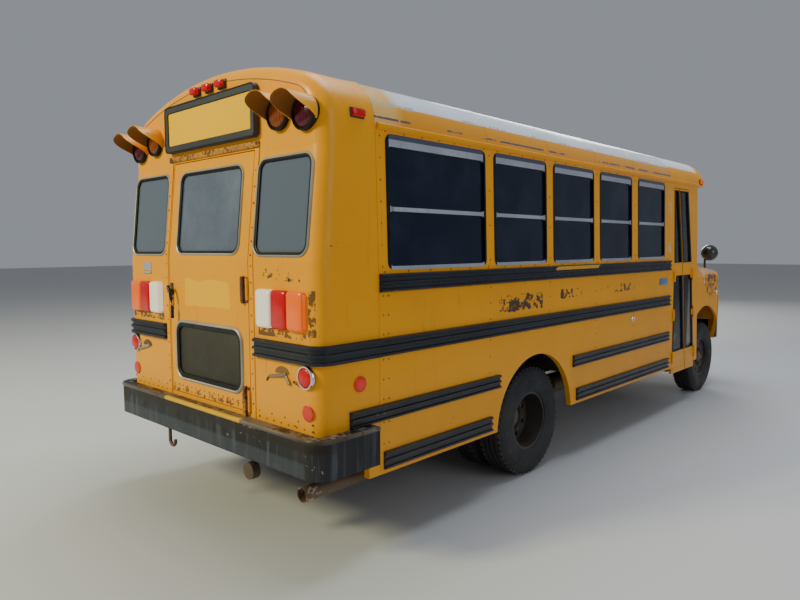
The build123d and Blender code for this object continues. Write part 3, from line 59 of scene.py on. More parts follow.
MIDDLE = 3.190              # station of the origin
BODY_HALF = 1.050           # half width over the side walls
SILL_Z = 1.500
SIDE_LEAN = 0.026
REAR_CREASE_Z = 1.615
REAR_TOP_Z = 2.200
REAR_LEAN = 0.061
DRIP_Z = 2.330
REAR_SEAM = 0.424
FRONT_SEAM = 4.550
CAP_FRONT = 5.560
SHOULDER = (0.860, 2.580)   # where the roof's tight corner meets its crown
CROWN_Z = 2.720
TYRE_R = 0.398
REAR_AXLE = 2.052
FRONT_AXLE = 5.800
BUMPER_HALF = 1.125
CORNER_BULGE = 0.047        # how far the roof's tight corner stands out from its chord
ENTRY_LOW, ENTRY_HEIGHT = 0.370, 1.900
SIDE_WINDOWS = ((0.496, 1.413), (1.504, 2.169), (2.263, 2.913), (3.016, 3.642), (3.771, 4.400))


def at(station: float) -> float:
    """Y of a station."""
    return MIDDLE - station


def side_x(z: float, out: float = 0.0) -> float:
    """Distance of a side wall's face from the middle at a height, plus out."""
    return BODY_HALF + out - SIDE_LEAN * max(0.0, z - SILL_Z)


def rear_station(z: float, out: float = 0.0) -> float:
    """Station of the rear wall's face at a height, out behind it."""
    share = min(1.0, max(0.0, (z - REAR_CREASE_Z) / (REAR_TOP_Z - REAR_CREASE_Z)))
    return REAR_LEAN * share - out


def arc_through(first: Vector, middle: Vector, last: Vector, steps: int) -> list[tuple[Vector, Vector]]:
    """Points on the arc through three points of a plane, each with its outward direction."""
    a, b = middle - first, last - first
    turn = 2.0 * (a.x * b.y - a.y * b.x)
    centre = first + Vector(((b.y * a.length_squared - a.y * b.length_squared) / turn,
                             (a.x * b.length_squared - b.x * a.length_squared) / turn))
    start, end = (first - centre), (last - centre)
    swing = start.angle_signed(end)
    radius = start.length
    made = []
    for i in range(steps + 1):
        angle = math.atan2(start.y, start.x) - swing * i / steps
        out = Vector((math.cos(angle), math.sin(angle)))
        made.append((centre + out * radius, out))
    return made


def roof_section(steps: int = 8) -> list[tuple[Vector, Vector]]:
    """Section of the roof from the left drip rail to the right one, as (X, Z) points with outward directions."""
    drip, shoulder = Vector((side_x(DRIP_Z), DRIP_Z)), Vector(SHOULDER)
    chord = shoulder - drip
    bulge = (drip + shoulder) / 2 + Vector((-chord.y, chord.x)).normalized() * -CORNER_BULGE
    corner = arc_through(drip, bulge, shoulder, steps)
    crown = arc_through(shoulder, Vector((0.0, CROWN_Z)), Vector((-shoulder.x, shoulder.y)), steps * 2)
    mirrored = [(Vector((-p.x, p.y)), Vector((-n.x, n.y))) for p, n in reversed(corner)]
    return corner[:-1] + crown + mirrored[1:]


def slanted(edge: tuple[float, float], z: float) -> float:
    """Station of a slanted edge of the entrance at a height, edge being its stations at the top and bottom."""
    top, bottom = edge
    return bottom + (top - bottom) * (z - ENTRY_LOW) / ENTRY_HEIGHT


class Body(Enum):
    """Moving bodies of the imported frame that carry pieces."""

    BUS = "bus"
    REAR_DOOR = "rear_door"
    ENTRANCE_REAR = "entrance_rear"
    ENTRANCE_FRONT = "entrance_front"
    DRIVER_DOOR = "driver_door"
    STOP_ARM = "stop_arm"
    FRONT_LEFT = "front_left_wheel"
    FRONT_RIGHT = "front_right_wheel"
    REAR_LEFT = "rear_left_wheels"
    REAR_RIGHT = "rear_right_wheels"


class Graph:
    """Places nodes in a tree and joins their sockets."""

    def __init__(self, tree: bpy.types.NodeTree) -> None:
        """Keep the tree."""
        self.tree = tree

    def add(self, kind: str, values: dict[Any, Any] | None = None, **settings: Any) -> bpy.types.Node:
        """Add a node.

        Args:
            kind: The node's type name.
            values: What goes into each input, as a constant or another node's socket.
            settings: Properties of the node.

        Returns:
            The new node.
        """
        node = self.tree.nodes.new(kind)
        for key, value in settings.items():
            setattr(node, key, value)
        for key, value in (values or {}).items():
            self.feed(node.inputs[key], value)
        return node

    def feed(self, socket: Socket, value: Any) -> None:
        """Join another socket to this one, or give it a constant."""
        if isinstance(value, Socket):
            self.tree.links.new(value, socket)
        else:
            socket.default_value = value

    def maths(self, operation: str, *values: Any, clamp: bool = False) -> Socket:
        """Result of a Math node on one to three values."""
        return self.add("ShaderNodeMath", dict(enumerate(values)), operation=operation, use_clamp=clamp).outputs[0]

    def vector(self, operation: str, *values: Any) -> Socket:
        """Result of a Vector Math node."""
        return self.add("ShaderNodeVectorMath", dict(enumerate(values)), operation=operation).outputs[0]

    def ramp(self, value: Any, low: Any, high: Any, to_low: Any = 0.0, to_high: Any = 1.0) -> Socket:
        """Value mapped from one range to another and held inside it."""
        names = {"Value": value, "From Min": low, "From Max": high, "To Min": to_low, "To Max": to_high}
        return self.add("ShaderNodeMapRange", names, clamp=True).outputs[0]

    def noise(self, vector: Any, scale: Any, detail: float = 3.0, rough: float = 0.55) -> Socket:
        """Noise value."""
        values = {"Vector": vector, "Scale": scale, "Detail": detail, "Roughness": rough}
        return self.add("ShaderNodeTexNoise", values).outputs[0]

    def mix(self, share: Any, first: Any, second: Any) -> Socket:
        """Two colours mixed by a share."""
        node = self.tree.nodes.new("ShaderNodeMix")
        node.data_type = "RGBA"
        for index, value in ((0, share), (6, first), (7, second)):
            self.feed(node.inputs[index], (*value, 1.0) if isinstance(value, tuple) else value)
        return node.outputs[2]


def dust_film(g: Graph, given: Any) -> Socket:
    """Dust that lies thicker towards the ground."""
    height = g.add("ShaderNodeSeparateXYZ", {0: given["Place"]}).outputs[2]
    film = g.ramp(height, 0.3, given["Top"], 1.0, 0.0)
    patch = g.ramp(g.noise(given["Place"], 5.0, 5.0), 0.3, 0.7, 0.25, 1.0)
    return g.maths("MULTIPLY", g.maths("MULTIPLY", film, patch), given["Amount"], clamp=True)


def dirt_runs(g: Graph, given: Any) -> Socket:
    """Upright runs of dirt."""
    drawn = g.vector("MULTIPLY", given["Place"], (1.0, 1.0, 0.06))
    lines = g.noise(drawn, given["Scale"], 4.0, 0.6)
    broken = g.ramp(g.noise(given["Place"], 2.5, 2.0), 0.4, 0.62)
    edge = g.maths("SUBTRACT", 0.75, g.maths("MULTIPLY", given["Cover"], 0.35))
    return g.maths("MULTIPLY", g.ramp(lines, edge, g.maths("ADD", edge, 0.14)), broken)


def paint_chips(g: Graph, given: Any) -> Socket:
    """Hard-edged chips that stand in loose clusters."""
    fine = g.noise(given["Place"], given["Scale"], 6.0, 0.7)
    loose = g.noise(given["Place"], g.maths("MULTIPLY", given["Scale"], 0.12), 2.0)
    both = g.maths("ADD", g.maths("MULTIPLY", fine, 0.6), g.maths("MULTIPLY", loose, 0.4))
    edge = g.maths("SUBTRACT", 0.72, g.maths("MULTIPLY", given["Cover"], 0.3))
    return g.ramp(both, edge, g.maths("ADD", edge, 0.012))


def box_patch(g: Graph, given: Any) -> Socket:
    """Mask that is 1 inside a box and fades at its edges."""
    spread = g.add("ShaderNodeCombineXYZ", {i: given["Soft"] for i in range(3)}).outputs[0]
    rise = g.vector("DIVIDE", g.vector("SUBTRACT", given["Place"], given["Low"]), spread)
    fall = g.vector("DIVIDE", g.vector("SUBTRACT", given["High"], given["Place"]), spread)
    least = g.add("ShaderNodeSeparateXYZ", {0: g.vector("MINIMUM", rise, fall)})
    two = g.maths("MINIMUM", least.outputs[0], least.outputs[1])
    return g.maths("MINIMUM", two, least.outputs[2], clamp=True)


def surface_grain(g: Graph, given: Any) -> Socket:
    """Height of a fine grain over slow waves."""
    fine = g.noise(given["Place"], given["Scale"], 2.0)
    slow = g.noise(given["Place"], g.maths("MULTIPLY", given["Scale"], 0.05), 1.0)
    return g.maths("ADD", g.maths("MULTIPLY", fine, 0.5), slow)


class Effects:
    """Shader node groups that several finishes share, each built once."""

    made: dict[str, bpy.types.NodeTree] = {}
    vectors = ("Place", "Low", "High")

    @classmethod
    def use(cls, effect: Callable[[Graph, Any], Socket], graph: Graph, **values: Any) -> Socket:
        """Place an effect's group in a material.

        Args:
            effect: Makes the nodes between the group's inputs and its output.
            graph: Graph of the material.
            values: What goes into each input of the group.

        Returns:
            The group's output.
        """
        name = effect.__name__
        if name not in cls.made:
            tree = cls.made[name] = bpy.data.node_groups.new(name, "ShaderNodeTree")
            for label in values:
                kind = "NodeSocketVector" if label in cls.vectors else "NodeSocketFloat"
                tree.interface.new_socket(label, in_out="INPUT", socket_type=kind)
            tree.interface.new_socket("Result", in_out="OUTPUT", socket_type="NodeSocketFloat")
            entry, leave = tree.nodes.new("NodeGroupInput"), tree.nodes.new("NodeGroupOutput")
            inside = Graph(tree)
            inside.feed(leave.inputs[0], effect(inside, entry.outputs))
        node = graph.tree.nodes.new("ShaderNodeGroup")
        node.node_tree = cls.made[name]
        for key, value in values.items():
            graph.feed(node.inputs[key], value)
        return node.outputs[0]


@dataclass(frozen=True)
class Mark:
    """A patch of another colour inside a box: a stain, a strip, painted shade or a painted reflection.

    Attributes:
        low: Lowest corner.
        high: Highest corner.
        colour: Colour of the mark.
        cover: How much of the box it covers, 1 for a solid strip.
        scale: Size of its chips.
        soft: Width of the fading edge.
    """

    low: Point
    high: Point
    colour: Colour
    cover: float = 1.0
    scale: float = 40.0
    soft: float = 0.03


DUST = (0.24, 0.19, 0.135)
RUN_SCALE = 22.0


@dataclass(frozen=True)
class Surface:
    """What every finish shares.

    Attributes:
        name: Name of the finish.
        colour: Main colour.
        slot: Material slot of the record; not used.
        marks: Stains, strips, painted shade, painted reflections and other areas of another colour.
    """

    name: str
    colour: Colour
    slot: str = field(default="yellow_paint", kw_only=True)
    marks: tuple[Mark, ...] = field(default=(), kw_only=True)

    def inputs(self, graph: Graph, place: Socket) -> dict[str, Any]:
        """What goes into the inputs of the shader."""
        raise NotImplementedError

    def material(self) -> bpy.types.Material:
        """Build the material, or return it if it is there already."""
        found = bpy.data.materials.get(self.name)
        if found is not None and found.get("made_here"):
            return found
        made = bpy.data.materials.new(self.name)
        made["made_here"] = True
        made.use_nodes = True
        graph = Graph(made.node_tree)
        shader = made.node_tree.nodes["Principled BSDF"]
        place = graph.add("ShaderNodeTexCoord").outputs["Object"]
        for label, value in self.inputs(graph, place).items():
            graph.feed(shader.inputs[label], value)
        made.diffuse_color = (*self.colour, 1.0)
        return made

    @staticmethod
    def region(graph: Graph, place: Socket, mark: Mark) -> Socket:
        """Mask of a mark's box."""
        return Effects.use(box_patch, graph, Place=place, Low=mark.low, High=mark.high, Soft=mark.soft)


@dataclass(frozen=True)
class Finish(Surface):
    """Painted, metal, rubber or plastic surface with dirt, chips and grain.

    Attributes:
        roughness: Roughness of the clean surface.
        metallic: How metallic it is.
        coat: Weight of the clear coat.
        wander: How far the colour wanders between clean and faded.
        faded: Colour that it wanders towards.
        dust: Amount of dust near the ground.
        dust_top: Height where the dust ends.
        runs: Cover of upright dirt runs.
        runs_colour: Colour of the runs.
        chip: Cover of chips.
        chip_colour: What shows in a chip.
        chip_scale: Scale of the chips.
        grain: Scale of the fine bump.
        depth: Depth of the bump in metres.
        specular: Strength of the plain reflection.
    """

    roughness: float = 0.5
    metallic: float = 0.0
    coat: float = 0.0
    wander: float = 0.35
    faded: Colour | None = None
    dust: float = 0.25
    dust_top: float = 1.3
    runs: float = 0.0
    runs_colour: Colour = (0.10, 0.06, 0.03)
    chip: float = 0.0
    chip_colour: Colour = (0.05, 0.03, 0.02)
    chip_scale: float = 40.0
    grain: float = 220.0
    depth: float = 0.0003
    specular: float = 0.4

    def inputs(self, graph: Graph, place: Socket) -> dict[str, Any]:
        """Faded colour under dirt runs, chips, marks and dust, with a fine bump."""
        faded = self.faded or tuple(c * 0.8 for c in self.colour)
        wander = graph.ramp(graph.noise(place, 1.7, 4.0), 0.35, 0.68, 0.0, self.wander)
        colour = graph.mix(wander, self.colour, faded)
        rough = graph.ramp(graph.noise(place, 9.0, 4.0), 0.3, 0.7, self.roughness * 0.8, self.roughness * 1.2)
        if self.runs:
            runs = Effects.use(dirt_runs, graph, Place=place, Scale=RUN_SCALE, Cover=self.runs)
            colour = graph.mix(graph.maths("MULTIPLY", runs, 0.55), colour, self.runs_colour)
        if self.chip:
            mask = Effects.use(paint_chips, graph, Place=place, Scale=self.chip_scale, Cover=self.chip)
            colour = graph.mix(mask, colour, self.chip_colour)
            rough = graph.ramp(mask, 0.0, 1.0, rough, 0.8)
        for mark in self.marks:
            region = self.region(graph, place, mark)
            if mark.cover < 1.0:
                cover = graph.maths("MULTIPLY", region, mark.cover)
                speck = Effects.use(paint_chips, graph, Place=place, Scale=mark.scale, Cover=cover)
                region = graph.maths("MULTIPLY", speck, graph.ramp(region, 0.0, 0.2))
            colour = graph.mix(region, colour, mark.colour)
        if self.dust:
            film = Effects.use(dust_film, graph, Place=place, Top=self.dust_top, Amount=self.dust)
            colour = graph.mix(film, colour, DUST)
            rough = graph.ramp(film, 0.0, 1.0, rough, 0.9)
        height = Effects.use(surface_grain, graph, Place=place, Scale=self.grain)
        bump = graph.add("ShaderNodeBump", {"Strength": 0.6, "Distance": self.depth, "Height": height})
        return {"Base Color": colour, "Roughness": rough, "Metallic": self.metallic, "Normal": bump.outputs[0],
                "Specular IOR Level": self.specular, "Coat Weight": self.coat, "Coat Roughness": 0.12}


@dataclass(frozen=True)
class GlassFinish(Surface):
    """Pane that is dark and lets some light straight through.

    Attributes:
        cover: How much it hides, 1 for opaque.
        gloss: Weight of its reflections.
    """

    cover: float = 1.0
    gloss: float = 0.3
    slot: str = field(default="dark_glass", kw_only=True)

    def inputs(self, graph: Graph, place: Socket) -> dict[str, Any]:
        """Pane with a film of dust that shows against the light."""
        film = graph.ramp(graph.noise(place, 3.0, 6.0, 0.65), 0.42, 0.75, 0.0, 0.16)
        colour = graph.mix(film, self.colour, tuple(0.06 + 2.2 * c for c in self.colour))
        # a mark is a patch of another colour under the dust film; the tinted pane's mark is a painted sky reflection
        for mark in self.marks:
            dusty = tuple(0.8 * c for c in mark.colour)
            dusted = graph.mix(graph.maths("MULTIPLY", film, 5.0), mark.colour, dusty)
            colour = graph.mix(self.region(graph, place, mark), colour, dusted)
        return {"Base Color": colour, "Alpha": graph.maths("ADD", film, self.cover, clamp=True),
                "Roughness": graph.ramp(film, 0.0, 0.2, 0.03, 0.35), "Specular IOR Level": self.gloss,
                "Coat Weight": max(0.0, self.gloss * 2.0 - 1.0), "Coat Roughness": 0.03}

    def material(self) -> bpy.types.Material:
        """Build the material, see-through in plain views too."""
        made = super().material()
        made.diffuse_color = (*self.colour, self.cover)
        return made


@dataclass(frozen=True)
class LensFinish(Surface):
    """Moulded lamp lens with upright flutes.

    Attributes:
        flutes: Flutes to a metre.
        glow: Daylight that its reflector sends back.
    """

    flutes: float = 160.0
    glow: float = 0.34
    slot: str = field(default="red_lens", kw_only=True)

    def inputs(self, graph: Graph, place: Socket) -> dict[str, Any]:
        """Fluted colour that glows a little."""
        wave = graph.add("ShaderNodeTexWave", {"Vector": place, "Scale": self.flutes / 6.3, "Distortion": 0.3},
                         wave_type="BANDS", bands_direction="X", wave_profile="SIN").outputs[1]
        deep = tuple(c * 0.55 for c in self.colour)
        colour = graph.mix(graph.maths("MULTIPLY", wave, 0.6), deep, self.colour)
        rough = graph.ramp(graph.noise(place, 30.0, 3.0), 0.3, 0.7, 0.12, 0.28)
        bump = graph.add("ShaderNodeBump", {"Strength": 0.5, "Distance": 0.0012, "Height": wave})
        return {"Base Color": colour, "Emission Color": colour, "Emission Strength": self.glow, "Roughness": rough,
                "Normal": bump.outputs[0], "Specular IOR Level": 0.3, "Coat Weight": 0.25, "Coat Roughness": 0.06}


PEELED = (0.07, 0.04, 0.022)
RUST = (0.20, 0.065, 0.022)
# brown of the painted shadows that the tail lamps cast
LAMP_SHADOW_BROWN = (0.16, 0.075, 0.02)
CREAM = (0.36, 0.34, 0.29)


class Finishes:
    """Every finish of the bus."""

    YELLOW = Finish(
        "school_bus_yellow", (0.86, 0.355, 0.0), 0.36, coat=0.06, wander=0.5, faded=(0.76, 0.295, 0.0), specular=0.25,
        dust=0.22, dust_top=1.0, runs=0.4, runs_colour=(0.36, 0.15, 0.01), chip=0.2, chip_scale=60.0,
        chip_colour=(0.16, 0.07, 0.025), grain=60.0, depth=0.0011,
        marks=(
            Mark((-1.1, at(2.13), 1.225), (-1.0, at(1.525), 1.374), PEELED, 0.70, 16.0, 0.02),
            Mark((-1.1, at(3.80), 1.270), (-1.0, at(2.36), 1.375), PEELED, 0.60, 18.0, 0.02),
            Mark((-0.94, at(0.2), 1.50), (-0.56, at(-0.05), 1.58), PEELED, 0.62, 30.0, 0.01),
            Mark((-0.28, at(0.1), 1.33), (0.28, at(-0.05), 1.49), PEELED, 0.50, 34.0, 0.03),
            Mark((-0.28, at(0.1), 1.30), (0.28, at(-0.05), 1.52), (0.90, 0.46, 0.0), 0.9, 3.0, 0.05),
            # painted shadows of the tail lamps: brown bands under them and beside the kerb-side ones
            Mark((-0.99, at(0.05), 1.205), (-0.53, at(-0.05), 1.262), LAMP_SHADOW_BROWN, 0.78, 30.0, 0.008),
            Mark((-1.02, at(0.05), 1.225), (-0.962, at(-0.05), 1.475), LAMP_SHADOW_BROWN, 0.95, 24.0, 0.008),
            Mark((0.53, at(0.05), 1.205), (0.99, at(-0.05), 1.262), LAMP_SHADOW_BROWN, 0.78, 30.0, 0.008),
            Mark((-0.46, at(0.1), 0.74), (0.50, at(-0.05), 0.83), RUST, 0.62, 30.0, 0.03),
            Mark((-1.1, at(0.5), 0.735), (-0.50, at(-0.05), 0.775), RUST, 0.50, 40.0, 0.02),
            Mark((-1.1, at(5.0), 0.40), (1.1, at(0.0), 0.52), RUST, 0.30, 22.0, 0.06),
            Mark((-1.1, at(4.60), 1.60), (-0.98, at(4.47), 2.25), (0.52, 0.46, 0.36), 0.66, 30.0, 0.02),
            Mark((-1.1, at(6.45), 1.20), (-0.70, at(5.45), 1.55), (0.60, 0.55, 0.45), 0.55, 14.0, 0.06),
            Mark((-1.1, at(6.45), 1.02), (-0.85, at(5.70), 1.40), RUST, 0.66, 14.0, 0.06),
            Mark((-1.2, at(5.40), 2.468), (1.2, at(4.45), 2.80), (0.74, 0.78, 0.84), soft=0.016),
            Mark((-1.012, at(4.50), 0.96), (1.012, at(0.030), 1.62), CREAM, soft=0.002),
            Mark((-1.003, at(4.50), 1.62), (1.003, at(0.105), 2.40), CREAM, soft=0.002),
        ))
    RIVET = Finish("rivet_weathered", (0.34, 0.155, 0.012), 0.5, wander=1.0, faded=(0.13, 0.06, 0.02), chip=0.6,
                   chip_colour=(0.07, 0.035, 0.02), chip_scale=50.0)
    # brown of the cap's sealant, also used as the painted shade inside the latch recesses
    SEALANT_AND_SHADE = Finish("sealant_brown", (0.13, 0.075, 0.03), 0.7, wander=1.0, faded=(0.30, 0.15, 0.03), dust=0.0)
    ROOF_WHITE = Finish(
        "roof_white", (0.74, 0.78, 0.84), 0.24, coat=0.3, wander=0.5, faded=(0.58, 0.60, 0.62), dust=0.0, runs=0.3,
        runs_colour=(0.40, 0.40, 0.40), chip=0.10, chip_colour=(0.18, 0.16, 0.14), grain=50.0, depth=0.0012,
        slot="white_paint",
        marks=(
            Mark((-1.2, at(5.0), 2.20), (1.2, at(0.0), 2.462), (0.78, 0.315, 0.004), soft=0.006),
            Mark((-1.2, at(0.66), 2.20), (1.2, at(0.0), 2.655), (0.80, 0.47, 0.13), soft=0.090),
            Mark((-1.2, at(4.6), 2.448), (1.2, at(0.3), 2.478), (0.50, 0.46, 0.42), 0.62, 26.0, 0.006),
            Mark((-1.2, at(4.6), 2.368), (1.2, at(0.3), 2.388), (0.13, 0.11, 0.13), 0.74, 7.0, 0.004),
        ))
    RAIL_BLACK = Finish(
        "rub_rail_black", (0.009, 0.011, 0.017), 0.30, wander=0.5, faded=(0.022, 0.026, 0.038), dust=0.14,
        dust_top=1.0, runs=0.3, runs_colour=(0.10, 0.11, 0.13), chip=0.25, chip_colour=(0.22, 0.10, 0.03),
        chip_scale=50.0, slot="black_paint",
        marks=(Mark((-1.1, at(2.972), 1.506), (-1.0, at(2.282), 1.534), (0.74, 0.40, 0.02), soft=0.003),))
    BUMPER_BLACK = Finish(
        "bumper_worn_black", (0.007, 0.008, 0.011), 0.40, wander=0.7, faded=(0.020, 0.022, 0.028), specular=0.22,
        dust=0.08, dust_top=0.8, runs=0.7, runs_colour=(0.10, 0.115, 0.14), chip=0.28, chip_colour=(0.26, 0.25, 0.24),
        chip_scale=30.0, slot="black_paint",
        marks=(
            # painted light on the flat bumper face: the blue-grey lower band is a painted sky reflection, the brownish
            # upper band painted shade
            Mark((-1.02, at(0.05), 0.52), (1.13, at(-0.09), 0.612), (0.075, 0.098, 0.135), soft=0.045),
            Mark((-1.13, at(0.05), 0.655), (1.13, at(-0.09), 0.712), (0.017, 0.012, 0.009), soft=0.018),
            Mark((-1.14, at(0.36), 0.712), (1.14, at(-0.09), 0.745), (0.16, 0.13, 0.10), 0.75, 30.0, 0.006),
            Mark((-0.45, at(-0.055), 0.713), (0.42, at(-0.09), 0.745), (0.80, 0.47, 0.02), soft=0.005),
        ))
    CHASSIS = Finish("chassis_black", (0.03, 0.028, 0.026), 0.65, wander=0.8, faded=(0.11, 0.055, 0.03), dust=0.7,
                     dust_top=1.0, chip=0.4, chip_colour=RUST, slot="frame_black")
    ALUMINIUM = Finish(
        "sash_aluminium", (0.50, 0.52, 0.60), 0.38, metallic=0.6, wander=0.7, faded=(0.30, 0.32, 0.40), dust=0.0,
        runs=0.5, runs_colour=(0.10, 0.10, 0.13), slot="aluminium",
        marks=(Mark((-1.1, at(4.45), 2.268), (1.1, at(0.45), 2.32), (0.10, 0.11, 0.16), soft=0.004),
               *(Mark((-1.1, at(s + 0.017), 1.566), (1.1, at(s - 0.017), 2.300), (0.008, 0.009, 0.012), 1.0,
                      soft=0.002) for rear, front in SIDE_WINDOWS for s in (rear + 0.010, front - 0.010))))
    WORN_TRIM = Finish("window_trim_worn", (0.46, 0.44, 0.38), 0.45, metallic=0.35, wander=0.9,
                       faded=(0.24, 0.23, 0.21), dust=0.0, slot="aluminium")
    WORN_STEEL = Finish("bumper_lip_worn", (0.20, 0.17, 0.14), 0.42, metallic=0.5, wander=1.0,
                        faded=(0.06, 0.045, 0.03), dust=0.0, chip=0.5, chip_colour=(0.10, 0.05, 0.025),
                        marks=(Mark((-0.45, at(0.0), 0.70), (0.42, at(-0.10), 0.76), (0.82, 0.48, 0.02), 1.0,
                                    soft=0.008),), slot="black_paint")
    CHROME = Finish("bezel_chrome", (0.72, 0.72, 0.71), 0.14, metallic=1.0, wander=0.3, dust=0.15,
                    slot="aluminium", depth=0.0001)
    GASKET = Finish("rubber_gasket", (0.006, 0.006, 0.007), 0.45, wander=0.5, faded=(0.014, 0.014, 0.016),
                    specular=0.25, dust=0.05, slot="mirror_black")
    TYRE = Finish("tyre_rubber_worn", (0.007, 0.010, 0.015), 0.6, wander=0.6, faded=(0.014, 0.019, 0.028),
                  specular=0.3, dust=0.16, dust_top=0.9, grain=300.0, depth=0.0006, slot="tyre_rubber")
    WHEEL = Finish("wheel_steel_dusty", (0.020, 0.020, 0.022), 0.5, metallic=0.2, wander=0.8,
                   faded=(0.055, 0.050, 0.045), dust=0.3, dust_top=0.9, chip=0.35, chip_colour=RUST,
                   slot="wheel_steel")
    TREAD = Finish("tyre_tread_dusty", (0.009, 0.011, 0.015), 0.8, wander=0.8, faded=(0.022, 0.024, 0.028),
                   dust=0.35, dust_top=1.0, grain=300.0, depth=0.0006, slot="tyre_rubber")
    HUB = Finish("hub_cap_dusty", (0.16, 0.13, 0.10), 0.55, metallic=0.4, wander=0.9, faded=(0.10, 0.055, 0.03),
                 dust=0.3, dust_top=1.0, chip=0.4, chip_colour=RUST, slot="wheel_steel")
    NUT = Finish("nut_steel", (0.20, 0.19, 0.18), 0.45, metallic=0.8, wander=0.8, faded=(0.2, 0.09, 0.04), dust=0.4,
                 slot="wheel_steel")
    GRILLE = Finish("grille_matt_black", (0.03, 0.03, 0.032), 0.55, dust=0.2, slot="grille_plastic")
    DASH = Finish("dash_grained", (0.10, 0.10, 0.105), 0.6, dust=0.0, grain=420.0, depth=0.0004,
                  slot="dash_plastic")
    FLOOR = Finish("ribbed_floor", (0.035, 0.035, 0.036), 0.7, dust=0.3, dust_top=1.4, slot="floor_rubber")
    SIGN_RED = Finish("stop_arm_red", (0.52, 0.02, 0.018), 0.35, coat=0.3, wander=0.4, dust=0.1, slot="sign_red")
    SIGN_YELLOW = Finish("sign_panel_yellow", (0.90, 0.50, 0.0), 0.4, wander=0.25, specular=0.2, dust=0.0)
    SCREEN = Finish("door_screen_dusty", (0.024, 0.023, 0.018), 0.6, wander=0.9, faded=(0.038, 0.037, 0.028),
                    dust=0.1, chip=0.4, chip_colour=(0.015, 0.015, 0.012), chip_scale=160.0, grain=900.0,
                    depth=0.0012, slot="dark_glass")
    FRAME_BLACK = Finish("sign_frame_black", (0.030, 0.034, 0.046), 0.45, wander=0.6, faded=(0.055, 0.06, 0.075),
                         dust=0.0, slot="black_paint")
    # painted shade: the brown insides of the yellow visors
    VISOR_INSIDE_SHADE = Finish("visor_inside_brown", (0.30, 0.105, 0.010), 0.7, wander=0.8, faded=(0.14, 0.05, 0.01),
                         dust=0.0, slot="black_paint")
    MIRROR = Finish("mirror_shell_black", (0.02, 0.02, 0.021), 0.25, coat=0.6, dust=0.1, slot="mirror_black")
    CAST = Finish("cast_iron_oily", (0.06, 0.045, 0.035), 0.6, metallic=0.5, wander=0.9, faded=(0.15, 0.07, 0.035),
                  dust=0.6, dust_top=1.0, chip=0.4, chip_colour=RUST, slot="cast_iron")
    RUSTY = Finish("hinge_rusty", (0.55, 0.25, 0.02), 0.6, metallic=0.1, wander=1.0, faded=RUST, chip=0.75,
                   chip_colour=(0.10, 0.04, 0.018), chip_scale=60.0, dust=0.0)
    TAIL_PIPE = Finish("tail_pipe_scaled", (0.16, 0.12, 0.085), 0.6, metallic=0.4, wander=1.0,
                       faded=(0.10, 0.05, 0.025), dust=0.35, dust_top=0.9, chip=0.5, chip_colour=RUST,
                       marks=(Mark((-0.95, at(0.16), 0.30), (-0.79, at(-0.02), 0.47), (0.50, 0.44, 0.36), 0.85, 14.0,
                                   0.05),), slot="cast_iron")
    LEVER = Finish("lever_silver", (0.42, 0.36, 0.27), 0.4, metallic=0.6, wander=1.0, faded=(0.22, 0.13, 0.05),
                   dust=0.0, chip=0.5, chip_colour=RUST, slot="aluminium")
    VINYL = Finish("seat_vinyl_brown", (0.060, 0.040, 0.030), 0.45, coat=0.1, wander=0.6, faded=(0.095, 0.065, 0.05),
                   dust=0.0, grain=420.0, depth=0.0005, slot="seat_vinyl")
    WELT = Finish("seat_welt", (0.030, 0.022, 0.018), 0.5, dust=0.0, grain=420.0, slot="seat_vinyl")
    SIGN_BORDER = Finish("sign_border_white", (0.78, 0.78, 0.76), 0.35, coat=0.3, dust=0.0, slot="white_paint")
    SEAT_FRAME = Finish("seat_frame_black", (0.03, 0.03, 0.03), 0.5, dust=0.0, slot="frame_black")
    PLATE = Finish("blank_plate", (0.55, 0.56, 0.56), 0.35, metallic=0.5, dust=0.2, slot="aluminium")
    DARK_GLASS = GlassFinish(
        "tinted_pane", (0.002, 0.008, 0.026), 0.84,
        # painted sky reflection: lighter blue-grey over the rear wall's panes
        marks=(Mark((-1.0, at(0.12), 1.60), (1.0, at(-0.05), 2.20), (0.12, 0.15, 0.22), soft=0.01),))
    # the rear door panes' light blue-grey colour is a painted sky reflection
    REAR_GLASS = GlassFinish("rear_pane", (0.105, 0.135, 0.200), 0.84, gloss=0.9)
    DOOR_GLASS = GlassFinish(
        "entrance_pane", (0.006, 0.010, 0.016), 0.72, gloss=0.5,
        marks=(Mark((-1.1, at(5.24), 0.62), (-1.0, at(5.09), 1.34), (0.26, 0.26, 0.24), soft=0.03),))
    CLEAR_GLASS = GlassFinish("cab_pane", (0.02, 0.025, 0.027), 0.35, slot="clear_glass")
    RED_LENS = LensFinish("red_lens_fluted", (0.64, 0.002, 0.004))
    DARK_RED_LENS = LensFinish("red_dome_lens", (0.085, 0.002, 0.010), 90.0, glow=0.1)
    AMBER_LENS = LensFinish("amber_lens_fluted", (1.0, 0.15, 0.0), glow=0.6)
    AMBER_DOME = LensFinish("amber_dome_lens", (0.26, 0.055, 0.002), 90.0, glow=0.1)
    WHITE_LENS = LensFinish("white_lens_fluted", (0.92, 0.86, 0.70), slot="clear_lens", glow=0.7)
    BLUE_PLATE = LensFinish("side_reflector_blue", (0.10, 0.20, 0.34), 30.0, slot="clear_lens")
    HEAD_LENS = LensFinish("headlamp_lens", (0.75, 0.78, 0.80), 60.0, slot="clear_lens")
    REFLECTOR = LensFinish("red_reflector", (0.72, 0.035, 0.015), 320.0)


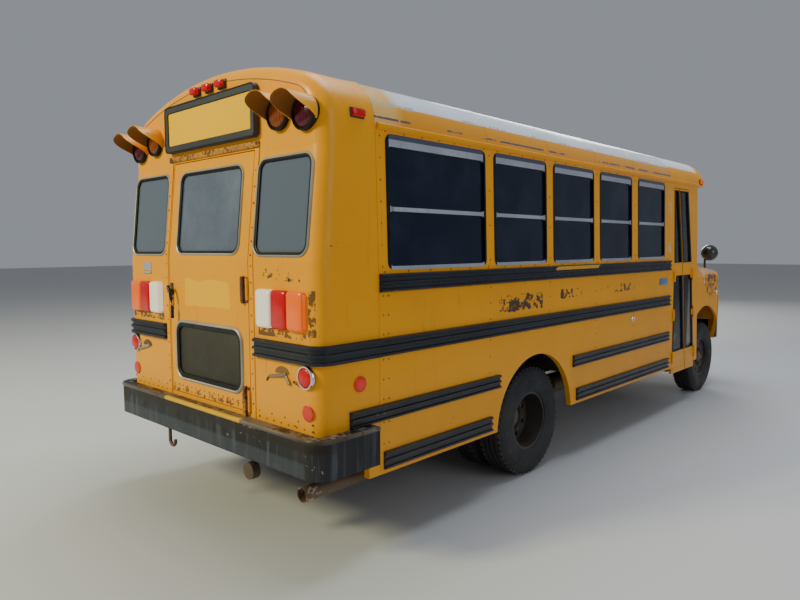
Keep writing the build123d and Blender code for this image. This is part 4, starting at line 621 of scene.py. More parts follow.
NODE_FINISHES: tuple[tuple[Surface, str], ...] = (
    (Finishes.YELLOW, "cab_shell driver_door entrance_front_leaf entrance_rear_leaf front_fenders hood left_side_wall "
                      "rear_door rear_wall right_side_wall roof_caps"),
    (Finishes.ROOF_WHITE, "roof"),
    (Finishes.CHASSIS, "chassis_frame drive_shaft front_axle fuel_tank leaf_springs rear_axle"),
    (Finishes.CAST, "engine_block left_knuckle right_knuckle tow_fittings"),
    (Finishes.TAIL_PIPE, "exhaust"),
    (Finishes.BUMPER_BLACK, "front_bumper rear_bumper"),
    (Finishes.RAIL_BLACK, "rear_door_handle rub_rails stop_arm_bracket"),
    (Finishes.FRAME_BLACK, "rear_sign"),
    (Finishes.WHEEL, "front_left_rim front_right_rim rear_left_rims rear_right_rims"),
    (Finishes.TYRE, "front_left_tyre front_right_tyre rear_left_tyres rear_right_tyres"),
    (Finishes.GRILLE, "grille"),
    (Finishes.MIRROR, "mirrors"),
    (Finishes.ALUMINIUM, "side_window_frames"),
    (Finishes.DASH, "dashboard steering_wheel"),
    (Finishes.FLOOR, "floor"),
    (Finishes.SEAT_FRAME, "seat_frames"),
    (Finishes.VINYL, "seats"),
    (Finishes.SIGN_RED, "stop_arm"),
    (Finishes.DARK_GLASS, "window_glass"),
    (Finishes.REAR_GLASS, "rear_door_glass"),
    (Finishes.DOOR_GLASS, "entrance_front_glass entrance_rear_glass"),
    (Finishes.CLEAR_GLASS, "driver_door_glass"),
    (Finishes.HEAD_LENS, "headlamps"),
    (Finishes.RED_LENS, "clearance_lamps tail_lamps"),
    (Finishes.DARK_RED_LENS, "warning_lamps"),
)


def dress_nodes() -> None:
    """Give every node of the frame its finish."""
    for finish, names in NODE_FINISHES:
        material = finish.material()
        for name in names.split():
            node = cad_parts[name]
            for slot in node.material_slots:
                slot.material = material
            if not node.material_slots:
                node.data.materials.append(material)
    log.info("dressed the nodes of the frame")


@dataclass
class Piece:
    """Mesh under construction, joined from simple parts."""

    name: str
    finish: Surface
    body: Body = Body.BUS
    mesh: bmesh.types.BMesh = field(default_factory=bmesh.new)

    def loft(self, rings: Sequence[Sequence[Vector]], closed: bool = False, caps: bool = True) -> None:
        """Join closed rings of equal length with quads.

        Args:
            rings: Rings of points.
            closed: True if the last ring joins the first.
            caps: True to fill the two ends of an open loft.
        """
        made = [[self.mesh.verts.new(point) for point in ring] for ring in rings]
        count = len(made[0])
        pairs = list(zip(made, made[1:]))
        if closed:
            pairs.append((made[-1], made[0]))
        for first, second in pairs:
            for i in range(count):
                j = (i + 1) % count
                self.mesh.faces.new((first[i], first[j], second[j], second[i]))
        if caps and not closed:
            self.mesh.faces.new(list(reversed(made[0])))
            self.mesh.faces.new(made[-1])

    def sweep(self, path: Sequence[Vector], outward: Sequence[Vector] | Point, profile: Pairs,
              closed: bool = False) -> None:
        """Sweep a profile along a path.

        Args:
            path: Points of the path.
            outward: Outward direction of the surface at each point, or one for all.
            profile: (across, outward) pairs of the section.
            closed: True for a path that ends where it starts.
        """
        rings = []
        count = len(path)
        normals = [Vector(outward)] * count if isinstance(outward, tuple) else outward
        for i, point in enumerate(path):
            before = path[i - 1] if closed or i > 0 else point
            after = path[(i + 1) % count] if closed or i < count - 1 else point
            along = (after - before).normalized()
            out = normals[i].normalized()
            across = along.cross(out).normalized()
            stretch = 1.0
            if closed or 0 < i < count - 1:
                one, two = (point - before).normalized(), (after - point).normalized()
                stretch /= max(0.5, math.sqrt(max(0.0, (1.0 + one.dot(two)) / 2.0)))
            rings.append([point + across * (a * stretch) + out * b for a, b in profile])
        self.loft(rings, closed)

    def box(self, first: Point, second: Point, edge: float = 0.0) -> None:
        """Box between two opposite corners, its edges rounded by edge."""
        size = [abs(value) for value in Vector(second) - Vector(first)]
        middle = (Vector(first) + Vector(second)) / 2
        place = Matrix.Translation(middle) @ Matrix.Diagonal((*size, 1.0))
        part = bmesh.new()
        bmesh.ops.create_cube(part, size=1.0, matrix=place)
        if edge > 0:
            sharp = [e for e in part.edges if e.is_manifold and e.calc_face_angle(0) > 0.6]
            bmesh.ops.bevel(part, geom=sharp, offset=edge, segments=2, profile=0.5, affect="EDGES")
        self.take(part)


    def take(self, part: bmesh.types.BMesh) -> None:
        """Add another mesh and free it."""
        spare = bpy.data.meshes.new("spare")
        part.to_mesh(spare)
        part.free()
        self.mesh.from_mesh(spare)
        bpy.data.meshes.remove(spare)

    def lathe(self, place: Matrix, outline: Pairs, segments: int = 32) -> None:
        """Turn an outline of (radius, height) pairs about the local Z of place; a radius of 0 closes a pole."""
        part = bmesh.new()
        rings: list[list[bmesh.types.BMVert]] = []
        for radius, height in outline:
            if radius < 1e-6:
                rings.append([part.verts.new(place @ Vector((0, 0, height)))])
                continue
            rings.append([part.verts.new(place @ Vector((radius * math.cos(2 * math.pi * i / segments),
                                                         radius * math.sin(2 * math.pi * i / segments), height)))
                          for i in range(segments)])
        for one, two in zip(rings, rings[1:]):
            for i in range(segments):
                j = (i + 1) % segments
                if len(one) == 1:
                    part.faces.new((one[0], two[j], two[i]))
                elif len(two) == 1:
                    part.faces.new((one[i], one[j], two[0]))
                else:
                    part.faces.new((one[i], one[j], two[j], two[i]))
        for ring, turn in ((rings[0], True), (rings[-1], False)):
            if len(ring) > 1:
                part.faces.new(list(reversed(ring)) if turn else ring)
        self.take(part)

    def tube(self, points: Sequence[Vector], radius: float, sides: int = 12) -> None:
        """Round bar along points."""
        up = Vector((0.0, 0.0, 1.0))
        rings = []
        for i, point in enumerate(points):
            before, after = points[max(0, i - 1)], points[min(len(points) - 1, i + 1)]
            along = (after - before).normalized()
            side = along.cross(up)
            if side.length < 0.05:
                side = along.cross(Vector((1.0, 0.0, 0.0)))
            side.normalize()
            other = along.cross(side)
            rings.append([point + side * (radius * math.cos(2 * math.pi * k / sides))
                          + other * (radius * math.sin(2 * math.pi * k / sides)) for k in range(sides)])
        self.loft(rings)

    def done(self, smooth: float = 35.0, replaces: Iterable[str] = ()) -> bpy.types.Object:
        """Make the object, dress it and let it ride on its body.

        Args:
            smooth: Edges sharper than this many degrees stay sharp.
            replaces: Nodes of the frame that it stands for.

        Returns:
            The finished object.
        """
        bmesh.ops.remove_doubles(self.mesh, verts=self.mesh.verts, dist=1e-6)
        bmesh.ops.recalc_face_normals(self.mesh, faces=self.mesh.faces)
        return place_mesh(self.name, as_mesh(self.name, self.mesh), self.body, self.finish, smooth, replaces)


def linked(name: str, data: bpy.types.ID) -> bpy.types.Object:
    """New object in the scene."""
    made = bpy.data.objects.new(name, data)
    bpy.context.scene.collection.objects.link(made)
    return made


def as_mesh(name: str, part: bmesh.types.BMesh) -> bpy.types.Mesh:
    """Mesh of a bmesh, which is freed."""
    data = bpy.data.meshes.new(name)
    part.to_mesh(data)
    part.free()
    return data


def evaluated(made: bpy.types.Object) -> bpy.types.Mesh:
    """Mesh of an object with its modifiers applied."""
    return bpy.data.meshes.new_from_object(made.evaluated_get(bpy.context.evaluated_depsgraph_get()))


def place_mesh(name: str, data: bpy.types.Mesh, body: Body, finish: Surface, smooth: float = 35.0,
               replaces: Iterable[str] = ()) -> bpy.types.Object:
    """Object from a mesh, dressed and riding on its body."""
    if not data.materials:
        data.materials.append(finish.material())
    data.shade_smooth()
    data.set_sharp_from_angle(angle=math.radians(smooth))
    made = linked(name, data)
    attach(made, body.value)
    if replaces:
        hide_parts(*replaces)
    log.info("%s on %s, %d faces", name, body.value, len(data.polygons))
    return made


def rounded(x0: float, x1: float, z0: float, z1: float, radius: float, steps: int = 6) -> list[tuple[float, float]]:
    """Outline of a rectangle with round corners, as pairs."""
    corners = ((x1 - radius, z1 - radius), (x0 + radius, z1 - radius), (x0 + radius, z0 + radius),
               (x1 - radius, z0 + radius))
    return [(cx + radius * math.cos(turn), cz + radius * math.sin(turn))
            for quarter, (cx, cz) in enumerate(corners)
            for turn in (math.radians(90 * quarter + 90 * i / steps) for i in range(steps + 1))]


def upright(outline: Iterable[Sequence[float]], y: float) -> list[Vector]:
    """Outline of (X, Z) pairs stood up at a Y."""
    return [Vector((x, y, z)) for x, z in outline]


def flat(foot: float, top: float, low: float, high: float) -> Pairs:
    """Section of a flat strip from its half widths at the foot and top, and their heights."""
    return (-foot, low), (-top, high), (top, high), (foot, low)


def facing_rear(x: float, z: float) -> Matrix:
    """Place on the rear wall, with local Z pointing to the rear."""
    return Matrix.Translation((x, at(rear_station(z)), z)) @ Matrix.Rotation(math.radians(-90), 4, "X")


def facing_out(side: int, x: float, y: float, z: float) -> Matrix:
    """Place at a distance x from the middle, with local Z pointing to the side."""
    return Matrix.Translation((side * x, y, z)) @ Matrix.Rotation(math.radians(90 * side), 4, "Y")


class Shape(Enum):
    """Shapes that are set along rows."""

    DOME = "dome"
    HEX = "hex"
    BLOCK = "block"


@dataclass(frozen=True)
class Row:
    """A row of equal pieces.

    Attributes:
        points: Places of the pieces.
        outward: Outward direction of each piece.
        along: Direction of each piece's length.
    """

    points: tuple[Point, ...]
    outward: tuple[Point, ...]
    along: tuple[Point, ...]


@dataclass
class Repeats:
    """Equal pieces set along rows by one geometry tree, with one mesh for each body and finish.

    Attributes:
        name: Name of the pieces.
        shape: Their shape.
        size: Half sizes of a piece: along, across and outward.
        rows: Rows of each body and finish.
    """

    name: str
    shape: Shape
    size: Point
    rows: dict[tuple[Body, Finish], list[Row]] = field(default_factory=dict)

    def line(self, start: Point, end: Point, outward: Point, spacing: float, finish: Finish = Finishes.RIVET,
             body: Body = Body.BUS) -> None:
        """Add a straight row.

        Args:
            start: First place.
            end: Last place.
            outward: Outward direction.
            spacing: Distance from piece to piece.
            finish: Finish of the row.
            body: Body that the row rides on.
        """
        one, two = Vector(start), Vector(end)
        count = max(1, round((two - one).length / spacing))
        points = tuple(tuple(one.lerp(two, i / count)) for i in range(count + 1))
        along = tuple((two - one).normalized())
        row = Row(points, (outward,) * (count + 1), (along,) * (count + 1))
        self.rows.setdefault((body, finish), []).append(row)

    def circle(self, body: Body, centre: Point, radius: float, count: int, finish: Finish,
               outward: Point | None = None) -> None:
        """Add a ring about an axis that runs along X.

        Args:
            body: Body that the ring rides on.
            centre: Middle of the ring.
            radius: Radius of the ring.
            count: Number of pieces.
            finish: Finish of the ring.
            outward: Outward direction of all, or none where each stands out from the axis.
        """
        points, outs, along = [], [], []
        for i in range(count):
            turn = 2 * math.pi * (i + 0.25) / count
            away = Vector((0.0, math.cos(turn), math.sin(turn)))
            points.append(tuple(Vector(centre) + away * radius))
            outs.append(outward or tuple(away))
            along.append(tuple(away) if outward else (1.0, 0.0, 0.0))
        self.rows.setdefault((body, finish), []).append(Row(tuple(points), tuple(outs), tuple(along)))

    def tree(self) -> bpy.types.NodeTree:
        """Geometry tree that sets the shape on each point and turns it outward.

        Returns:
            The tree, with inputs for the half sizes and the finish.
        """
        tree = bpy.data.node_groups.new(self.name, "GeometryNodeTree")
        for label, kind in (("Rows", "NodeSocketGeometry"), ("Half Sizes", "NodeSocketVector"),
                            ("Finish", "NodeSocketMaterial")):
            tree.interface.new_socket(label, in_out="INPUT", socket_type=kind)
        tree.interface.new_socket("Pieces", in_out="OUTPUT", socket_type="NodeSocketGeometry")
        graph = Graph(tree)
        entry, leave = tree.nodes.new("NodeGroupInput"), tree.nodes.new("NodeGroupOutput")
        if self.shape is Shape.DOME:
            base = graph.add("GeometryNodeMeshUVSphere", {"Segments": 8, "Rings": 6, "Radius": 1.0})
        elif self.shape is Shape.HEX:
            base = graph.add("GeometryNodeMeshCylinder", {"Vertices": 6, "Radius": 1.0, "Depth": 2.0})
        else:
            base = graph.add("GeometryNodeMeshCube", {"Size": (2.0, 2.0, 2.0)})
        outward = graph.add("GeometryNodeInputNamedAttribute", {"Name": "outward"}, data_type="FLOAT_VECTOR")
        along = graph.add("GeometryNodeInputNamedAttribute", {"Name": "along"}, data_type="FLOAT_VECTOR")
        stand = graph.add("FunctionNodeAlignRotationToVector", {"Vector": outward.outputs[0]}, axis="Z")
        turn = graph.add("FunctionNodeAlignRotationToVector", {"Rotation": stand.outputs[0],
                                                               "Vector": along.outputs[0]}, axis="X", pivot_axis="Z")
        heads = graph.add("GeometryNodeInstanceOnPoints", {
            "Points": entry.outputs["Rows"], "Instance": base.outputs["Mesh"], "Rotation": turn.outputs[0],
            "Scale": entry.outputs["Half Sizes"]})
        solid = graph.add("GeometryNodeRealizeInstances", {0: heads.outputs[0]})
        smooth = graph.add("GeometryNodeSetShadeSmooth", {"Geometry": solid.outputs[0]})
        dressed = graph.add("GeometryNodeSetMaterial", {"Geometry": smooth.outputs[0],
                                                        "Material": entry.outputs["Finish"]})
        graph.feed(leave.inputs[0], dressed.outputs[0])
        return tree

    def build(self) -> None:
        """Make the pieces of every body and finish."""
        tree = self.tree()
        for (body, finish), rows in self.rows.items():
            mesh = bpy.data.meshes.new(self.name)
            mesh.from_pydata([point for row in rows for point in row.points], [], [])
            for label in ("outward", "along"):
                values = [number for row in rows for way in getattr(row, label) for number in way]
                mesh.attributes.new(label, "FLOAT_VECTOR", "POINT").data.foreach_set("vector", values)
            mesh.update()
            carrier = linked("row_carrier", mesh)
            modifier = carrier.modifiers.new(self.name, "NODES")
            modifier.node_group = tree
            values = {"Half Sizes": self.size, "Finish": finish.material()}
            for item in tree.interface.items_tree:
                if item.in_out == "INPUT" and item.name in values:
                    modifier[item.identifier] = values[item.name]
            plain = evaluated(carrier)
            bpy.data.objects.remove(carrier)
            name = plain.name = "_".join((self.name, body.value, finish.name))
            place_mesh(name, plain, body, finish, 40.0)


class RearEnd:
    """Gaskets, sign, strips and fittings of the rear wall and emergency door."""

    WINDOW_NEAR, WINDOW_FAR, WINDOW_R = 0.505, 0.960, 0.060
    SIGN_HALF, SIGN_LOW, SIGN_HIGH = 0.461, 2.330, 2.540
    STRIP_X, STRIP_OUT = 0.478, 0.0045
    OVER_DOOR_Z = 2.252
    HANDLE = (0.421, 1.400)
    BEAD_IN = 0.074             # how far the cap's joint lies inside the roof's section

    def gaskets(self) -> None:
        """Rubber seals inside worn bright trims round the upper panes, and wide ones on the lower pane."""
        sections = (((0.014, -0.012), (0.013, 0.003), (0.006, 0.006), (-0.001, 0.005), (-0.002, -0.012)),
                    ((-0.001, -0.002), (-0.002, 0.007), (-0.007, 0.010), (-0.012, 0.006), (-0.013, -0.002)))
        wide = (((0.011, -0.008), (0.010, 0.004), (0.002, 0.009), (-0.012, 0.010), (-0.014, -0.002)),
                ((-0.013, -0.002), (-0.014, 0.009), (-0.020, 0.013), (-0.027, 0.010), (-0.032, 0.003),
                 (-0.032, -0.002)))
        near, far = self.WINDOW_NEAR, self.WINDOW_FAR
        rows = (("rear_window_{}s", Body.BUS, ((near, far), (-far, -near)), 1.648, 2.158, sections),
                ("rear_door_{}s", Body.REAR_DOOR, ((-0.345, 0.345),), 1.655, 2.150, sections),
                ("rear_door_low_{}", Body.REAR_DOOR, ((-0.352, 0.352),), 0.875, 1.200, wide))
        for name, body, panes, low, high, pair in rows:
            lean = REAR_LEAN / (REAR_TOP_Z - REAR_CREASE_Z) if low > REAR_CREASE_Z else 0.0
            for part, finish, section in zip(("seal", "trim"), (Finishes.GASKET, Finishes.WORN_TRIM), pair):
                piece = Piece(name.format(part), finish, body)
                for x0, x1 in panes:
                    outline = rounded(x0, x1, low, high, self.WINDOW_R, 8)
                    path = [Vector((x, at(rear_station(z)), z)) for x, z in outline]
                    piece.sweep(path, (0.0, 1.0, lean), section, True)
                piece.done()
        screen = Piece("rear_door_low_screen", Finishes.SCREEN, Body.REAR_DOOR)
        screen.box((-0.343, at(0.0085), 0.884), (0.343, at(0.0055), 1.191), 0.001)
        screen.done()

    def sign(self) -> None:
        """Blank yellow panel in its dark frame over the door."""
        half, low, high, face = self.SIGN_HALF, self.SIGN_LOW, self.SIGN_HIGH, at(REAR_LEAN)
        panel = Piece("sign_panel", Finishes.SIGN_YELLOW)
        outline = rounded(-half + 0.001, half - 0.001, low + 0.001, high - 0.001, 0.014, 5)
        panel.loft([upright(outline, face + out) for out in (0.0255, 0.0280)])
        panel.done()
        line = Piece("sign_edge_line", Finishes.GASKET)
        for grow, out, radius in ((0.0, 0.027, 0.014), (0.036, 0.033, 0.028)):
            outline = rounded(-half - grow, half + grow, low - grow, high + grow, radius, 5)
            line.sweep(upright(outline, face + out), REARWARD, flat(0.004, 0.004, -0.001, 0.0026), True)
        line.done()

    def bead(self) -> None:
        """Cracked sealant along the joint of the rear cap's face."""
        bead = Piece("rear_cap_bead", Finishes.SEALANT_AND_SHADE)
        points = [p - n * self.BEAD_IN for p, n in roof_section(10) if p.y - n.y * self.BEAD_IN > 2.45]
        bead.sweep(upright(points, at(REAR_LEAN) - 0.0005), REARWARD, flat(0.0025, 0.0022, -0.001, 0.0016))
        bead.done()

    def strips(self, rivets: Repeats) -> None:
        """Upright flanges beside the door, the strip over it and the rivet rows."""
        flange = Piece("door_side_flanges", Finishes.YELLOW)
        heights = (0.70, 1.10, REAR_CREASE_Z, 1.90, REAR_TOP_Z + 0.03)
        for side in SIDES:
            x = side * self.STRIP_X
            path = [Vector((x, at(rear_station(z)), z)) for z in heights]
            flange.sweep(path, REARWARD, flat(0.021, 0.019, -0.003, self.STRIP_OUT))
            for a, b in zip(heights, heights[1:]):
                rivets.line((x, at(rear_station(a, self.STRIP_OUT)), a + 0.03),
                            (x, at(rear_station(b, self.STRIP_OUT)), b - 0.03), (0, 1, 0.03), 0.09)
        flange.done()
        over = Piece("over_door_strip", Finishes.RUSTY)
        face, z = at(REAR_LEAN), self.OVER_DOOR_Z
        over.box((-0.500, face - 0.002, z - 0.018), (0.500, face + 0.010, z + 0.016), 0.003)
        over.done()
        rivets.line((-0.48, face + 0.010, z), (0.48, face + 0.010, z), REARWARD, 0.058, Finishes.RUSTY)
        for z in (0.778, 0.806):
            rivets.line((-0.42, at(0), z), (0.42, at(0), z), REARWARD, 0.052, body=Body.REAR_DOOR)
        for side in SIDES:
            for z, spacing in ((0.752, 0.062), (0.786, 0.124)):
                rivets.line((side * 0.53, at(0), z), (side * 0.99, at(0), z), REARWARD, spacing)

    def fittings(self) -> None:
        """Blank plate, and the latches of the lower panels, their recesses drawn as flat brown painted shade."""
        plate = Piece("blank_plate", Finishes.PLATE)
        for low, high, out in ((1.535, 1.592, 0.005), (1.518, 1.530, 0.010)):
            plate.box((0.700, at(0) - 0.001, low), (0.815, at(0) + out, high), 0.002)
        plate.done()
        # the latch recesses are flat brown half-discs on the wall: painted shade, not sunk geometry
        recess = Piece("latch_recesses", Finishes.SEALANT_AND_SHADE)
        lever = Piece("latch_levers", Finishes.LEVER)
        rows = ((-1, (0.746, 1.020), (0.636, 0.994), (0.776, 1.018), (0.816, 0.972)),
                (1, (0.790, 1.018), (0.900, 0.984), (0.800, 1.010), (0.742, 1.028)))
        for side, (x, z), start, knee, tip in rows:
            fan = [(side * (x + 0.062 * math.cos(math.pi * i / 12)), z + 0.040 * math.sin(math.pi * i / 12))
                   for i in range(13)]
            recess.loft([upright(fan, at(-out)) for out in (-0.002, 0.0018)])
            for width, points in ((0.008, (start, knee)), (0.009, (knee, tip))):
                path = [Vector((side * x, at(-0.004 - 0.005 * i), z)) for i, (x, z) in enumerate(points)]
                lever.sweep(path, REARWARD, ((-width, -0.004), (-width, 0.004), (-width * 0.6, 0.007),
                                             (width * 0.6, 0.007), (width, 0.004), (width, -0.004)))
            lever.lathe(facing_rear(side * knee[0], knee[1]),
                        ((0.012, -0.002), (0.012, 0.010), (0.008, 0.014), (0.0, 0.014)), 18)
        recess.done()
        lever.done()
        stay = Piece("bent_wire_stay", Finishes.RUSTY)
        for points, out, radius in ((((-0.634, 0.992), (-0.620, 0.984), (-0.610, 0.968)), 0.005, 0.004),
                                    (((-0.850, 0.990), (-0.875, 0.986), (-0.900, 0.977)), 0.006, 0.007)):
            stay.tube(upright(points, at(-out)), radius)
        stay.done()

    def door_hardware(self, screws: Repeats) -> None:
        """Handle plate with its bent lever, and the rusty strap hinges."""
        plate = Piece("door_handle_plate", Finishes.RUSTY, Body.REAR_DOOR)
        plate.box((0.402, at(0) - 0.002, 1.300), (0.440, at(0) + 0.006, 1.462), 0.003)
        plate.done()
        lever = Piece("door_handle_lever", Finishes.RAIL_BLACK, Body.REAR_DOOR)
        line = ((0.421, 0.004, 1.400), (0.416, 0.030, 1.425), (0.396, 0.040, 1.440), (0.376, 0.042, 1.420),
                (0.362, 0.040, 1.365), (0.356, 0.038, 1.300), (0.360, 0.036, 1.240))
        lever.tube([Vector((x, at(0) + out, z)) for x, out, z in line], 0.0105, 14)
        lever.lathe(facing_rear(*self.HANDLE), ((0.022, -0.002), (0.022, 0.010), (0.014, 0.014), (0.0, 0.014)), 20)
        lever.done(50.0, ("rear_door_handle",))
        hinge = Piece("door_strap_hinges", Finishes.RUSTY, Body.REAR_DOOR)
        for low, high in ((0.735, 0.900), (1.378, 1.522)):
            hinge.box((-0.440, at(0) - 0.002, low), (-0.368, at(0) + 0.005, high), 0.002)
            hinge.tube([Vector((-0.404, at(-0.009), z)) for z in (low - 0.004, high + 0.004)], 0.011, 14)
            for x in (-0.428, -0.380):
                screws.line((x, at(-0.005), low + 0.02), (x, at(-0.005), high - 0.02), REARWARD, 0.05,
                            body=Body.REAR_DOOR)
        hinge.done()

    def bumper_lip(self) -> None:
        """Rolled and worn top edge of the bumper."""
        lip = Piece("rear_bumper_lip", Finishes.WORN_STEEL)
        radius, back = 0.110, at(-0.075)
        turns = [math.pi / 2 * i / 8 for i in range(9)]
        plan = [(BUMPER_HALF, at(0.350))]
        plan += [(BUMPER_HALF - radius + radius * math.cos(t), back - radius + radius * math.sin(t)) for t in turns]
        plan += [(-x, y) for x, y in reversed(plan)]
        normals = []
        for i in range(len(plan)):
            one, two = plan[max(0, i - 1)], plan[min(len(plan) - 1, i + 1)]
            normals.append(Vector((one[1] - two[1], two[0] - one[0], 0.0)) * -1.0)
        lip.sweep([Vector((x, y, 0.722)) for x, y in plan], normals,
                  ((-0.012, -0.006), (-0.012, 0.001), (-0.006, 0.006), (0.004, 0.006), (0.011, 0.001),
                   (0.012, -0.006)))
        lip.done()

    def build(self, rivets: Repeats) -> None:
        """Build everything on the rear end."""
        self.gaskets()
        self.sign()
        self.bead()
        self.strips(rivets)
        self.fittings()
        self.door_hardware(rivets)
        self.bumper_lip()


class Lamps:
    """Warning lamps with visors, tail lamps, marker lamps and reflectors."""

    WARNING_R = 0.089
    FRONT_IN, FRONT_UP = 0.93, 0.06             # how the front lamps' places differ from the rear ones'
    VISOR, VISOR_FOOT, VISOR_SPREAD = 0.165, 0.010, 114
    FLARE, DROOP = 0.027, 0.024
    REAR_TURN = Matrix(((-1, 0, 0, 0), (0, 0, 1, 0), (0, 1, 0, 0), (0, 0, 0, 1)))
    FRONT_TURN = Matrix(((1, 0, 0, 0), (0, 0, -1, 0), (0, 1, 0, 0), (0, 0, 0, 1)))

    def warning(self) -> None:
        """Round warning lamps at both ends, with their visors."""
        radius = self.WARNING_R
        places = []
        for index, (x, z, finish) in enumerate(((0.903, 2.360, Finishes.DARK_RED_LENS),
                                                (0.685, 2.385, Finishes.AMBER_DOME))):
            lens = Piece(("outer", "inner")[index] + "_warning_lenses", finish)
            for side in SIDES:
                for place in (self.rear_place(side * x, z),
                              Matrix.Translation((side * x * self.FRONT_IN, at(CAP_FRONT), z + self.FRONT_UP))
                              @ self.FRONT_TURN):
                    lens.lathe(place, self.dome(radius - 0.012, 0.012, 0.026), 40)
                    places.append(place)
            lens.done(50.0, ("warning_lamps",) if index == 0 else ())
        ring = Piece("warning_lamp_rings", Finishes.GASKET)
        outside = Piece("warning_lamp_visors", Finishes.YELLOW)
        # inner skins of the visors, coloured as painted shade of their yellow
        inside = Piece("warning_visor_linings", Finishes.VISOR_INSIDE_SHADE)
        for place in places:
            ring.lathe(place, ((radius, -0.02), (radius, 0.026), (radius - 0.008, 0.030), (radius - 0.015, 0.020),
                               (radius - 0.016, -0.02)), 40)
            self.hood(outside, place, radius + 0.0035, 0.0030)
            self.hood(inside, place, radius + 0.0005, 0.0029)
        ring.done()
        outside.done(60.0)
        inside.done(60.0)

    @staticmethod
    def dome(radius: float, start: float, rise: float) -> list[tuple[float, float]]:
        """Outline of a domed lens."""
        turns = [math.pi / 12 * i for i in range(1, 6)]
        curve = [(radius * math.cos(turn), start + rise * math.sin(turn)) for turn in turns]
        return [(radius, 0.0), (radius, start), *curve, (0.0, start + rise)]

    @classmethod
    def rear_place(cls, x: float, z: float, station: float = REAR_LEAN) -> Matrix:
        """Place of a lamp at the rear, with local Z to the rear and local Y up."""
        return Matrix.Translation((x, at(station), z)) @ cls.REAR_TURN

    def hood(self, piece: Piece, place: Matrix, radius: float, thickness: float) -> None:
        """Scoop-shaped visor over a lamp, with a broad round tip that flares and droops."""
        across, along = 36, 10
        rings = []
        for j in range(along + 1):
            share = j / along
            row_out, row_in = [], []
            for i in range(across + 1):
                turn = math.radians(self.VISOR_SPREAD * (2 * i / across - 1))
                rise = min(1.0, max(0.0, (math.cos(turn) * 0.088 + 0.036) / 0.108))
                reach = self.VISOR_FOOT + (self.VISOR - self.VISOR_FOOT) * rise * rise * (3.0 - 2.0 * rise)
                curl = share * share * rise
                flare, drop = radius + self.FLARE * curl, self.DROOP * curl
                for row, r in ((row_out, flare), (row_in, flare - thickness)):
                    row.append(place @ Vector((r * math.sin(turn), r * math.cos(turn) - drop, share * reach)))
            rings.append(row_out + row_in[::-1])
        piece.loft(rings)

    def tails(self) -> None:
        """Tail lamps in three colours, round lamps and reflectors."""
        for x0, finish, name in ((0.550, Finishes.WHITE_LENS, "white"), (0.686, Finishes.RED_LENS, "red"),
                                 (0.822, Finishes.AMBER_LENS, "amber")):
            lens = Piece(name + "_tail_lenses", finish)
            for side in SIDES:
                low, high = sorted((side * x0, side * (x0 + 0.134)))
                lens.loft([upright(rounded(low + grow, high - grow, 1.257 + grow, 1.463 - grow, 0.022 - grow * 0.6,
                                           5), at(-out))
                           for grow, out in ((0.0, 0.0), (0.0, 0.022), (0.006, 0.030), (0.016, 0.034))])
            lens.done(40.0, ("tail_lamps",) if name == "red" else ())
        bezel = Piece("round_lamp_bezels", Finishes.CHROME)
        red = Piece("round_red_lenses", Finishes.RED_LENS)
        for side in SIDES:
            place = self.rear_place(side * 0.950, 1.025, 0.0)
            bezel.lathe(place, ((0.064, 0.0), (0.064, 0.010), (0.060, 0.016), (0.053, 0.016), (0.050, 0.008),
                                (0.050, 0.0)), 36)
            red.lathe(place, self.dome(0.050, 0.010, 0.014), 36)
        bezel.done()
        red.done(50.0)
        mirror = Piece("red_reflectors", Finishes.REFLECTOR)
        for side in SIDES:
            mirror.lathe(self.rear_place(side * 0.958, 0.842, 0.0), self.dome(0.042, 0.006, 0.004), 32)
            mirror.lathe(facing_out(side, side_x(0.963), at(0.275), 0.963), self.dome(0.043, 0.006, 0.004), 32)
        mirror.done(50.0)

    @staticmethod
    def markers() -> None:
        """Boxy clearance lamps over the sign and the windscreen, and side markers, on dark feet."""
        marker = Piece("clearance_lenses", Finishes.RED_LENS)
        amber = Piece("front_clearance_lenses", Finishes.AMBER_LENS)
        foot = Piece("clearance_lamp_feet", Finishes.FRAME_BLACK)
        for face, way, lens in ((at(REAR_LEAN), 1, marker), (at(CAP_FRONT), -1, amber)):
            for x in (-0.140, 0.0, 0.140):
                lens.box((x - 0.036, face + way * 0.006, 2.611), (x + 0.036, face + way * 0.040, 2.652), 0.009)
                foot.box((x - 0.042, face - way * 0.002, 2.604), (x + 0.042, face + way * 0.010, 2.657), 0.004)
        x = side_x(2.375)
        for side in SIDES:
            for s, lens in ((0.295, marker), (5.420, amber)):
                lens.box((side * x, at(s + 0.042), 2.356), (side * (x + 0.026), at(s - 0.042), 2.394), 0.008)
                foot.box((side * (x - 0.002), at(s + 0.050), 2.349), (side * (x + 0.006), at(s - 0.050), 2.401), 0.003)
        marker.done(35.0, ("clearance_lamps",))
        amber.done()
        foot.done()

    def build(self) -> None:
        """Build all lamps."""
        self.warning()
        self.tails()
        self.markers()


